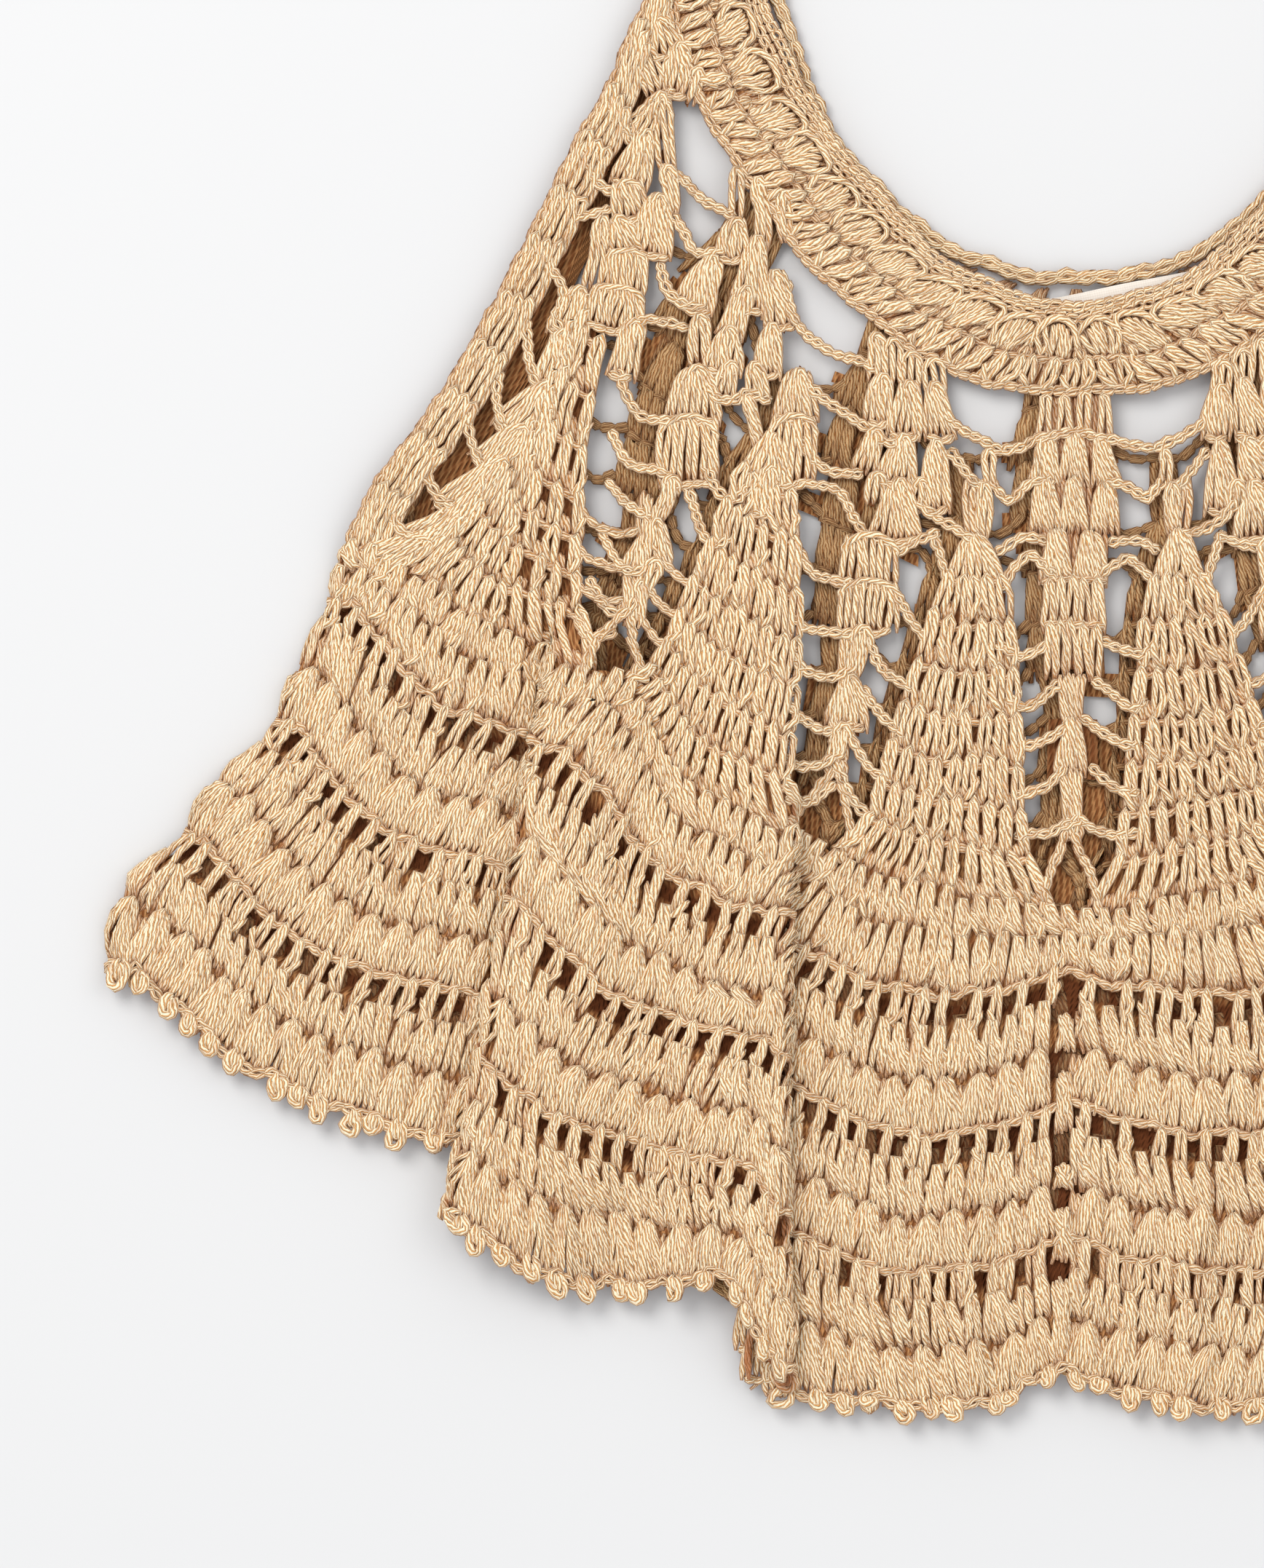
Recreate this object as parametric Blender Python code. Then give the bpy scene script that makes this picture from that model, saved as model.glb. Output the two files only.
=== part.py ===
"""Crochet top, laid flat: solids of the worked pieces, in metres.

The top is a tube worked in rounds from a scalloped neckband outward, laid front over back.
Every body point has two cloth coordinates: `column`, counted in pattern repeats from the centre
front (0 is the middle junction, .5 the middle of the next fan, 3.3 the side or armhole edge), and
`level`, counted in rounds from the neckband (0) to the last round (25). The chart tables below give
where the named columns run at a few levels; smooth curves fill the rest. Two press folds on each
side (A outer, B inner) are S-shaped and run down the body.
"""

from math import cos, pi, radians, sin

import bpy
import numpy as np

# ---------------------------------------------------------------- named sizes
UNIT = 0.21  # mm in one chart unit; chart x runs right, chart y runs down
CENTRE = 1480.0  # chart x of the centre line
MIDDLE = 853.88  # chart y that becomes Y = 0
WALL = 3.0  # mm of cloth
BACK_MID = WALL / 2  # mid-surface height of the back, which lies on the table
FRONT_MID = 5.0  # mid-surface height of the front where nothing is folded
FOLD_TURN = 2.0  # mm radius of a turn in a fold
SIDE_CURL = 3.5  # mm radius of the rolled side edge
BACK_INSET = 4.0  # mm by which the back stops short of the rolled edge
BACK_SHIFT = -22.0  # chart units by which the back's lace lies left of the front's
ROUNDS = 24.15  # last level of the bodies
EDGING_LINES = (24.25, 24.65, 25.0)  # levels of the picot round
LABEL = dict(width=54.0, height=14.0, thick=1.0, lift=3.3, x=1508.0, y=397.0, turn=11.3)

# Levels at which the column tables are given
LEVELS = (0, 1, 5, 8, 12, 14, 18, 22, 25)
COLUMNS = {  # column in repeats: chart (x, y) at each level
    0.0: ((1480, 545), (1480, 598), (1480, 795), (1480, 985), (1480, 1250), (1480, 1345), (1480, 1530), (1480, 1725), (1480, 1900)),
    0.5: ((1345, 532), (1340, 600), (1340, 800), (1318, 990), (1290, 1225), (1272, 1385), (1255, 1580), (1240, 1775), (1270, 1955)),
    1.0: ((1250, 482), (1240, 540), (1197, 738), (1165, 925), (1130, 1160), (1090, 1290), (1040, 1440), (1020, 1625), (985, 1765)),
    1.5: ((1135, 393), (1118, 465), (1050, 665), (1020, 850), (950, 1080), (925, 1225), (870, 1400), (800, 1575), (830, 1795)),
    2.0: ((1060, 306), (1030, 350), (945, 560), (885, 740), (838, 922), (755, 1040), (700, 1262), (665, 1490), (612, 1700)),
    2.5: ((985, 178), (962, 262), (800, 445), (735, 640), (650, 850), (600, 985), (520, 1160), (440, 1340), (390, 1520)),
    3.0: ((938, 100), (905, 160), (825, 300), (725, 520), (520, 752), (480, 838), (400, 1018), (260, 1175), (173, 1352)),
}
BACK_COLUMNS = {  # where the unfolded back's columns differ below level 12: (x, y) at levels 12 to 25
    0.0: ((1480, 1250), (1480, 1345), (1480, 1530), (1480, 1720), (1480, 1885)),
    0.5: ((1290, 1225), (1282, 1370), (1275, 1560), (1270, 1755), (1270, 1932)),
    1.0: ((1120, 1150), (1105, 1240), (1085, 1440), (1068, 1640), (1060, 1826)),
    1.5: ((950, 1060), (925, 1160), (890, 1340), (862, 1520), (850, 1694)),
    2.0: ((810, 940), (778, 1050), (722, 1215), (672, 1390), (640, 1566)),
    2.5: ((650, 850), (610, 945), (530, 1120), (455, 1300), (395, 1496)),
}
EDGE_LEVELS = (0, 1, 2, 3.5, 5, 6.5, 8, 9.5, 11, 12, 13, 14, 16, 18, 20, 22, 23, 24, 25)
EDGE = ((915, -50), (868, 40), (832, 125), (795, 185), (757, 262), (698, 378), (648, 470), (592, 560), (512, 668),
        (478, 738), (462, 785), (452, 832), (408, 915), (372, 1005), (298, 1068), (240, 1160), (180, 1205), (153, 1275), (146, 1345))
LAST = 3.3  # column of the edge
# Folds: levels, ridge x, y on the upper side, y where the lower side shows, hidden depth in mm
FOLD_LEVELS = (0, 5, 8, 10, 12, 14, 18, 22, 25)
FOLD_B = dict(x=(1150, 1098, 1088, 1090, 1095, 1085, 1078, 1080, 1085), top_y=(0, 680, 880, 1010, 1140, 1268, 1470, 1690, 1908),
              low_y=(0, 700, 905, 1030, 1150, 1310, 1500, 1715, 1932), deep=(3.5, 3.5, 3.5, 3.5, 3.8, 5.5, 8, 9, 9),
              top=(1.30, 1.30, 1.27, 1.20, 1.13, 0.99, 0.91, 0.87, 0.84), low=(1.12, 1.12, 1.10, 1.08, 1.05, 0.90, 0.82, 0.78, 0.75))
FOLD_A = dict(x=(1080, 905, 850, 790, 748, 730, 695, 657, 611), top_y=(0, 540, 730, 850, 945, 1035, 1262, 1495, 1702),
              low_y=(0, 530, 720, 840, 900, 1022, 1203, 1388, 1588), deep=(3.5, 3.5, 3.5, 3.5, 3.8, 5.5, 8, 9, 9),
              top=(2.12, 2.12, 2.12, 2.14, 2.18, 2.10, 2.03, 2.02, 2.01), low=(2.30, 2.30, 2.28, 2.26, 2.27, 2.20, 2.13, 2.12, 2.11))
FOLD_SAMPLES = 8  # grid cells across a fold
# How far each fold has risen, and how far it has tucked under, by level
RISE_LEVELS = (0, 4, 6, 8.5, 10, 11.5, 25)
RISE_B = (0, 0, 0.35, 0.5, 0.75, 1, 1)
RISE_A = (0, 0, 0, 0.05, 0.4, 1, 1)
TUCK_LEVELS = (0, 11, 12, 13.2, 25)
TUCK = (0, 0, 0.35, 1, 1)
# Half widths of the lace columns, in repeats: the narrow column, and where the fan begins
LACE_LEVELS = (0, 4, 5, 8, 11, 12, 25)
NARROW = (0.16, 0.16, 0.15, 0.11, 0.08, 0.08, 0.08)
FAN_FROM = (0.31, 0.31, 0.31, 0.25, 0.20, 0.20, 0.20)
# Neckband, as chart points from the left shoulder to the centre: inner edge and outer edge
BAND_IN = ((1035, -240), (1036, -150), (1040, -60), (1050, 5), (1073, 60), (1103, 125), (1150, 200), (1197, 258),
           (1245, 312), (1300, 360), (1350, 390), (1400, 407), (1440, 417), (1480, 422))
BACK_BAND_IN = ((1058, -240), (1060, -150), (1066, -60), (1076, 5), (1089, 55), (1106, 108), (1150, 190), (1197, 246),
                (1248, 298), (1300, 335), (1350, 360), (1400, 374), (1440, 379), (1480, 379))
BAND_OUT = ((910, -240), (911, -150), (914, -60), (922, 35), (938, 98), (960, 150), (1000, 212), (1040, 275),
            (1095, 350), (1140, 395), (1195, 442), (1250, 482), (1345, 530), (1480, 545))
BACK_BAND_LIFT = 47.0  # chart units by which the back neckline is higher at the centre
BAND_STEPS = 22  # grid cells along half a band


# ---------------------------------------------------------------- curves
def slopes(x, y):
    """End slopes of a curve that never overshoots its points."""
    h, d = np.diff(x), np.diff(y) / np.diff(x)
    m = np.zeros(len(x))
    m[0], m[-1] = d[0], d[-1]
    for i in range(1, len(x) - 1):
        if d[i - 1] * d[i] > 0:
            w1, w2 = 2 * h[i] + h[i - 1], h[i] + 2 * h[i - 1]
            m[i] = (w1 + w2) / (w1 / d[i - 1] + w2 / d[i])
    return m


def curve(x, y, at):
    x, y, at = (np.asarray(v, float) for v in (x, y, at))
    m, at = slopes(x, y), np.clip(at, x[0], x[-1])
    i = np.clip(np.searchsorted(x, at, side="right") - 1, 0, len(x) - 2)
    h = x[i + 1] - x[i]
    t = (at - x[i]) / h
    return (y[i] * (1 + 2 * t) * (1 - t) ** 2 + m[i] * h * t * (1 - t) ** 2
            + y[i + 1] * t * t * (3 - 2 * t) + m[i + 1] * h * t * t * (t - 1))


def table(levels, values, level):
    return float(curve(levels, values, level))


# ---------------------------------------------------------------- the laid cloth
def s_curve(q, deep):
    """(along, height) in mm across a fold, q from 0 on the upper side to 1 on the lower side."""
    r = FOLD_TURN
    points = [(-r, 4 * r)]
    points += [(-r + r * sin(a), 3 * r + r * cos(a)) for a in (pi / 3, 2 * pi / 3, pi)]
    points += [(-r - deep, 2 * r)]
    points += [(-r - deep - r * sin(a), r + r * cos(a)) for a in (pi / 3, 2 * pi / 3, pi)]
    points += [(0.0, 0.0)]
    at = np.linspace(0, 1, len(points))
    return np.interp(q, at, [p[0] for p in points]), np.interp(q, at, [p[1] for p in points])


def knots_at(level, folded):
    ks = sorted(COLUMNS)
    named = {k: COLUMNS[k] if folded or k not in BACK_COLUMNS else COLUMNS[k][:4] + BACK_COLUMNS[k] for k in ks}
    xs = [table(LEVELS, [p[0] for p in named[k]], level) for k in ks]
    ys = [table(LEVELS, [p[1] for p in named[k]], level) for k in ks]
    ks.append(LAST)
    xs.append(table(EDGE_LEVELS, [p[0] for p in EDGE], level))
    ys.append(table(EDGE_LEVELS, [p[1] for p in EDGE], level))
    return np.array(ks), np.array(xs), np.array(ys)


def scallop(column, level):
    """Chart units a round hangs below its smooth line between two junctions."""
    f = np.mod(column, 1.0)
    return float(np.interp(level, (0, 4, 11, 13, 25), (0, 6, 10, 26, 30))) * (4 * f * (1 - f) - (1 - np.cos(2 * pi * f)) / 2)


def row(level, folded=True):
    """One round of the left half: arrays of column, x, y (chart) and z (mm), and the fold fractions."""
    ks, xs, ys = knots_at(level, folded)
    base_x = lambda u: curve(ks, xs, u)
    base_y = lambda u: curve(ks, ys, u)
    tuck = float(np.interp(level, TUCK_LEVELS, TUCK)) if folded else 0.0
    rise = {"A": float(np.interp(level, RISE_LEVELS, RISE_A)), "B": float(np.interp(level, RISE_LEVELS, RISE_B))}
    ends = {}
    for name, fold, side in (("B", FOLD_B, 1), ("A", FOLD_A, -1)):
        top, low = table(FOLD_LEVELS, fold["top"], level), table(FOLD_LEVELS, fold["low"], level)
        ridge = table(FOLD_LEVELS, fold["x"], level)
        top_x = (1 - tuck) * base_x(top) + tuck * (ridge - side * FOLD_TURN / UNIT)
        low_x = (1 - tuck) * base_x(low) + tuck * ridge
        top_y = (1 - tuck) * base_y(top) + tuck * table(FOLD_LEVELS, fold["top_y"], level)
        low_y = (1 - tuck) * base_y(low) + tuck * table(FOLD_LEVELS, fold["low_y"], level)
        ends[name] = dict(top=top, low=low, ridge=ridge, top_x=float(top_x), low_x=float(low_x), top_y=float(top_y),
                          low_y=float(low_y), deep=table(FOLD_LEVELS, fold["deep"], level))
    a, b = ends["A"], ends["B"]

    def part(lo, lo_x, lo_y, hi, hi_x, hi_y):
        keep = [i for i in range(len(ks)) if lo + 0.06 < ks[i] < hi - 0.06]
        u = np.concatenate([[lo], ks[keep], [hi]])
        return u, np.concatenate([[lo_x], xs[keep], [hi_x]]), np.concatenate([[lo_y], ys[keep], [hi_y]])

    parts = [part(0.0, xs[0], ys[0], b["low"], b["low_x"], b["low_y"]),
             part(b["top"], b["top_x"], b["top_y"], a["top"], a["top_x"], a["top_y"]),
             part(a["low"], a["low_x"], a["low_y"], LAST, xs[-1], ys[-1])]
    return dict(level=level, parts=parts, a=a, b=b, tuck=tuck, rise=rise, folded=folded, edge=xs[-1])


def lift(r, x):
    """Height in mm that the middle section stands above the rest at chart x, from its two ridges."""
    reach = 34 / UNIT
    level_b, level_a = (r["tuck"] * (r[k]["deep"] + 2 * FOLD_TURN + 1) / UNIT for k in "ba")
    d_b = np.clip((r["b"]["top_x"] - x - level_b) / reach, 0, 1)
    d_a = np.clip((x - r["a"]["top_x"] - level_a) / reach, 0, 1)
    fall = lambda d: (1 - d) ** 2 * (1 + 2 * d)
    return 4 * FOLD_TURN * (r["rise"]["B"] * fall(d_b) + r["rise"]["A"] * fall(d_a))


def crease(x, y):
    """Soft creases of the centre: a low ridge right of one line, and one along the middle."""
    run = np.interp(y, (1560, 1680, 1950), (0, 1, 1))
    return run * (3.0 * np.exp(-((x - 1322) / 26.0) ** 2) + 2.6 * np.exp(-((x - 1492) / 30.0) ** 2))


def laid(r, column):
    """Chart x, y and mid-surface z in mm of one cloth point of the left half."""
    a, b = r["a"], r["b"]
    for name, fold, side, near, far in (("B", b, 1, b["low"], b["top"]), ("A", a, -1, a["top"], a["low"])):
        if near < column < far:
            q = (far - column) / (far - near) if name == "B" else (column - near) / (far - near)
            along, height = s_curve(q, fold["deep"])
            flat_x = fold["top_x"] + (fold["low_x"] - fold["top_x"]) * q
            tuck, rise = r["tuck"], r["rise"][name]
            x = (1 - tuck) * flat_x + tuck * (fold["ridge"] + side * along / UNIT)
            y = fold["top_y"] + (fold["low_y"] - fold["top_y"]) * q
            return float(x), float(y), (FRONT_MID + rise * height) if r["folded"] else BACK_MID
    part = r["parts"][0 if column <= b["low"] else 1 if column <= a["top"] else 2]
    x, y = float(curve(part[0], part[1], column)), float(curve(part[0], part[2], column))
    y += scallop(column, r["level"])
    if not r["folded"]:
        return x, y, BACK_MID
    z = FRONT_MID + (float(lift(r, x)) if b["top"] <= column <= a["top"] else 0.0) + float(crease(x, y))
    return x, y, z


def to_mm(x, y, z, side):
    centre = -np.interp(y, (700, 1000, 1900), (6, 8, 26)) * np.exp(-((x - CENTRE) / 70.0) ** 2)
    return np.array([side * (x - CENTRE) * UNIT * -1 * -1 + centre * UNIT, (MIDDLE - y) * UNIT, z])


# ---------------------------------------------------------------- grids of cloth columns
def columns_at(level, r, folded, fine):
    """The grid columns of the left half at a level: (column, name) from the centre to the edge."""
    n, f = float(np.interp(level, LACE_LEVELS, NARROW)), float(np.interp(level, LACE_LEVELS, FAN_FROM))
    b_low, b_top, a_top, a_low = r["b"]["low"], r["b"]["top"], r["a"]["top"], r["a"]["low"]
    mid = [(f + 0.5) / 2] if fine else []
    inner = [0.0, n, f] + mid + [0.5] + [1 - m for m in mid[::-1]] + [1 - f, 1 - n, 1.0]
    scale = b_low / 1.12 if level > 11 else 1.0
    lace = [u * (scale if level > 11 else 1) for u in inner]
    lace = [min(u, b_low - 0.02 * (len(lace) - i)) for i, u in enumerate(lace)]
    low = lace + [b_low]
    first = b_top + float(np.interp(level, (0, 11, 18, 25), (0.33, 0.33, 0.16, 0.25))) * (1.5 - b_top)
    top = [b_top] + ([first, (first + 1.5) / 2] if fine else []) + [1.5] + ([1.5 + (0.5 - f) / 2] if fine else []) + [2 - f, 2 - n, 2.0]
    top = [min(u, a_top - 0.02 * (len(top) - i)) for i, u in enumerate(top)] + [a_top]
    out = [a_low] + ([(a_low + 2.5) / 2] if fine else []) + [2.5] + ([3 - (f + 0.5) / 2] if fine else []) + [3 - f, 3 - n, 3.0, 3.08, 3.18, LAST]
    return low, top, out


def grid(levels, folded, fine, fold_from):
    """Rows of (chart x, y, z mm) for the left half; a row above fold_from has no points inside a fold."""
    rows = []
    for level in levels:
        r = row(level, folded)
        low, top, out = columns_at(level, r, folded, fine)
        b = list(np.linspace(r["b"]["low"], r["b"]["top"], FOLD_SAMPLES + 1)[1:-1])
        a = list(np.linspace(r["a"]["top"], r["a"]["low"], FOLD_SAMPLES + 1)[1:-1])
        full = level >= fold_from
        us = low + (b if full else []) + top + (a if full else []) + out
        marks = ([("low", i) for i in range(len(low))] + ([("b", i) for i in range(len(b))] if full else [])
                 + [("top", i) for i in range(len(top))] + ([("a", i) for i in range(len(a))] if full else [])
                 + [("out", i) for i in range(len(out))])
        pts = [laid(r, u) for u in us]
        rows.append(dict(level=level, marks=marks, us=us, pts=pts, r=r))
    return rows


# ---------------------------------------------------------------- from a grid to a closed wall
def both_halves(rows, edge_shape):
    """Full-width rows of points in mm, left edge first, with a key for each point."""
    out = []
    for rw in rows:
        left = [edge_shape(rw, i, to_mm(*p, 1)) for i, p in enumerate(rw["pts"])]
        right = [edge_shape(rw, i, mirrored(p)) for i, p in enumerate(rw["pts"])]
        keys = [("L",) + m for m in rw["marks"]][::-1] + [("R",) + m for m in rw["marks"]][1:]
        out.append((rw["level"], keys, left[::-1] + right[1:]))
    return out


def mirrored(p):
    x, y, z = p
    return to_mm(2 * CENTRE - x, y, z, 1)


def closed_wall(name, rows, holes, thick, body_mark, given=None):
    """A wall of this thickness about the rows' points, with the named cells left out.
    `given` holds normals for the last row, so that two pieces meet square; it returns those of the first row."""
    points, index, faces = [], {}, []
    for j, (level, keys, pts) in enumerate(rows):
        for k, p in zip(keys, pts):
            index[j, k] = len(points)
            points.append(p)
    for j in range(len(rows) - 1):
        upper, lower = rows[j], rows[j + 1]
        if len(upper[1]) == len(lower[1]):
            for i in range(len(upper[1]) - 1):
                if (j, upper[1][i]) in holes:
                    continue
                faces.append([index[j, upper[1][i]], index[j + 1, lower[1][i]], index[j + 1, lower[1][i + 1]], index[j, upper[1][i + 1]]])
        else:
            shared = [k for k in upper[1]]
            for i in range(len(shared) - 1):
                if (j, shared[i]) in holes:
                    continue
                k0, k1 = lower[1].index(shared[i]), lower[1].index(shared[i + 1])
                below = [index[j + 1, lower[1][k]] for k in range(k0, k1 + 1)]
                if len(below) == 2:
                    faces.append([index[j, shared[i]], below[0], below[1], index[j, shared[i + 1]]])
                    continue
                first, last, half = index[j, shared[i]], index[j, shared[i + 1]], len(below) // 2
                for k in range(len(below) - 1):
                    faces.append([first if k < half else last, below[k], below[k + 1]])
                faces.append([first, below[half], last])
    points = np.array(points)
    used = sorted({i for f in faces for i in f})
    renumber = {old: new for new, old in enumerate(used)}
    points, faces = points[used], [[renumber[i] for i in f] for f in faces]
    normals = np.zeros_like(points)
    for f in faces:
        for i in range(len(f)):
            a, b, c = points[f[i - 1]], points[f[i]], points[f[(i + 1) % len(f)]]
            n = np.cross(c - b, a - b)
            size = np.linalg.norm(n)
            if size > 1e-9:
                angle = np.arccos(np.clip(np.dot(c - b, a - b) / (np.linalg.norm(c - b) * np.linalg.norm(a - b)), -1, 1))
                normals[f[i]] += n / size * angle
    normals /= np.linalg.norm(normals, axis=1)[:, None]
    for key, normal in (given or {}).items():
        old = index.get((len(rows) - 1, key))
        if old in renumber:
            normals[renumber[old]] = normal
    first_row = {key: normals[renumber[index[0, key]]] for key in rows[0][1] if index[0, key] in renumber}
    count = len(points)
    walls = np.concatenate([points + normals * thick / 2, points - normals * thick / 2]) / 1000
    solid = [f for f in faces] + [[i + count for i in f[::-1]] for f in faces]
    edges = {}
    for f in faces:
        for i in range(len(f)):
            edges[f[i], f[(i + 1) % len(f)]] = True
    for a, b in edges:
        if (b, a) not in edges:
            if points[a][0] < points[b][0]:
                solid += [[b, a, b + count], [a, a + count, b + count]]
            else:
                solid += [[b, a, a + count], [b, a + count, b + count]]
    mesh = bpy.data.meshes.new(name)
    mesh.from_pydata([tuple(v) for v in walls], [], solid)
    mesh.validate()
    mesh.update()
    made = bpy.data.objects.new(name, mesh)
    COLLECTION.objects.link(made)
    material = bpy.data.materials.new(name + "_" + body_mark)
    material.diffuse_color = COLOURS[body_mark]
    material.use_nodes = True
    material.node_tree.nodes["Principled BSDF"].inputs["Base Color"].default_value = COLOURS[body_mark]
    material.node_tree.nodes["Principled BSDF"].inputs["Roughness"].default_value = 0.9
    mesh.materials.append(material)
    print(name, len(mesh.polygons), "faces", sum(len(p.vertices) - 2 for p in mesh.polygons), "triangles")
    return first_row


# ---------------------------------------------------------------- holes of the lace
LINES = (0, 0.2, 0.9, 1.35, 2.25, 3.2, 4.0, 4.3, 5.0, 5.3, 6.0, 6.3, 7.0, 7.3, 8.0, 8.3, 9.0, 9.3, 10.0, 10.3,
         11.0, 11.35, 12.0, 13.0, 14.0, 14.85, 16.0, 17.2, 18.0, 18.85, 20.0, 21.2, 22.0, 22.85, 23.5, ROUNDS)
BACK_LINES = (0, 0.2, 0.9, 1.35, 3.2, 4.0, 4.3, 5.0, 5.3, 6.0, 6.3, 7.0, 7.3, 8.0, 8.3, 9.0, 9.3, 10.0, 10.3,
              11.0, 12.0, 13.0, 14.0, 16.0, 18.0, 20.0, 22.0, ROUNDS)
LADDER_ROUNDS = (4.3, 5.3, 6.3, 7.3, 8.3, 9.3, 10.3)


def lace_holes(rows, lines, fine):
    """Cells left open: eyelets, the gaps beside each V, the ladders and the junction holes."""
    holes = set()
    at = {round(v, 2): j for j, v in enumerate(lines)}
    keys = {j: rows[j][1] for j in range(len(rows))}

    def cut(j, side, group, first, last=None):
        last = first if last is None else last
        for i in range(first, last + 1):
            names = keys[j]
            k = names.index((side, group, i))
            # a cell is named by the key that starts it, reading left to right
            holes.add((j, names[k] if side == "R" else names[k - 1]))

    def span(j, side, first_key, last_key):
        """Every cell between two columns of one row."""
        names = keys[j]
        a, b = sorted((names.index((side,) + first_key), names.index((side,) + last_key)))
        for k in range(a, b):
            holes.add((j, names[k]))

    fan = {"low": (2, 4 if fine else 3, 6 if fine else 4), "top": (0, 3 if fine else 1, 5 if fine else 2), "out": (0, 2 if fine else 1, 4 if fine else 2)}
    for side in "LR":
        low_f, low_c, low_g = fan["low"]
        n_low, n_top, n_out = low_g, fan["top"][2], fan["out"][2]
        eyelet = at[0.2]
        span(eyelet, side, ("low", low_f), ("low", low_g))
        span(eyelet, side, ("top", 0), ("top", n_top))
        span(eyelet, side, ("out", 0), ("out", n_out))
        beside = [j for v, j in at.items() if 1.3 < v < 3.1]
        for j in beside:
            span(j, side, ("low", 2), ("low", 3))
            span(j, side, ("low", low_g - 1), ("low", low_g))
            span(j, side, ("top", n_top - 1), ("top", n_top))
            span(j, side, ("top", 0), ("top", 1))
            span(j, side, ("out", 0), ("out", 1))
            span(j, side, ("out", n_out - 1), ("out", n_out))
        for v in LADDER_ROUNDS:
            j = at[v]
            span(j, side, ("low", 1), ("low", 2))
            span(j, side, ("low", low_g), ("low", low_g + 1))
            span(j, side, ("top", n_top), ("top", n_top + 1))
            b_last = max(i for s, g, i in keys[j] if g == "low")
            span(j, side, ("low", b_last), ("top", 0))
            a_last = max(i for s, g, i in keys[j] if g == "top")
            if v < 10.2:
                span(j, side, ("top", a_last), ("out", 0))
            span(j, side, ("out", n_out), ("out", n_out + 1))
            if v > 5:
                span(j, side, ("out", n_out + 3), ("out", n_out + 4))
    return holes


# ---------------------------------------------------------------- the pieces
COLOURS = dict(cotton=(0.70, 0.50, 0.30, 1.0), cotton_back=(0.62, 0.43, 0.26, 1.0), label=(0.85, 0.83, 0.80, 1.0))
for old in list(bpy.data.objects):
    bpy.data.objects.remove(old, do_unlink=True)
COLLECTION = bpy.data.collections.new("crochet_top")
bpy.context.scene.collection.children.link(COLLECTION)


def front_edge(rw, i, p):
    """The side edge rolls down over the back's edge below the underarm."""
    mark = rw["marks"][i]
    count = max(k for g, k in rw["marks"] if g == "out")
    if mark[0] != "out" or mark[1] < count - 3 or rw["level"] < 11.9:
        return p
    blend = float(np.interp(rw["level"], (11.9, 13), (0, 1)))
    edge = to_mm(*rw["pts"][-1], 1) if p[0] < 0 else mirrored(rw["pts"][-1])
    inner_index = len(rw["pts"]) - 4
    inner = to_mm(*rw["pts"][inner_index], 1) if p[0] < 0 else mirrored(rw["pts"][inner_index])
    direction = (edge - inner) * np.array([1, 1, 0])
    direction /= np.linalg.norm(direction)
    turn = (mark[1] - (count - 3)) / 3 * pi / 2
    rolled = edge - direction * SIDE_CURL * (1 - sin(turn))
    rolled[2] = FRONT_MID - SIDE_CURL * (1 - cos(turn))
    return (1 - blend) * p + blend * rolled


def back_edge(rw, i, p):
    """The back's lace lies a little to the left, and its side edge stops inside the rolled front edge."""
    x, y, z = p
    level = rw["level"]
    half = abs(rw["pts"][-1][0] - CENTRE) * UNIT
    free = 1 - (abs(x) / max(half, 1.0)) ** 6
    x += BACK_SHIFT * UNIT * max(free, 0.0) * float(np.interp(level, (0, 2, 12, 16), (0.4, 1, 1, 0)))
    y += BACK_BAND_LIFT * UNIT * float(np.interp(level, (0, 6), (1, 0))) * float(np.exp(-(x / 78.0) ** 4))
    if level > 10.6:
        inset = BACK_INSET * float(np.interp(level, (10.6, 12.0), (0, 1)))
        share = max(0.0, 1 - (half - abs(x)) / 30.0)
        x -= np.sign(x) * inset * share
    return np.array([x, y, z])


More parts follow.
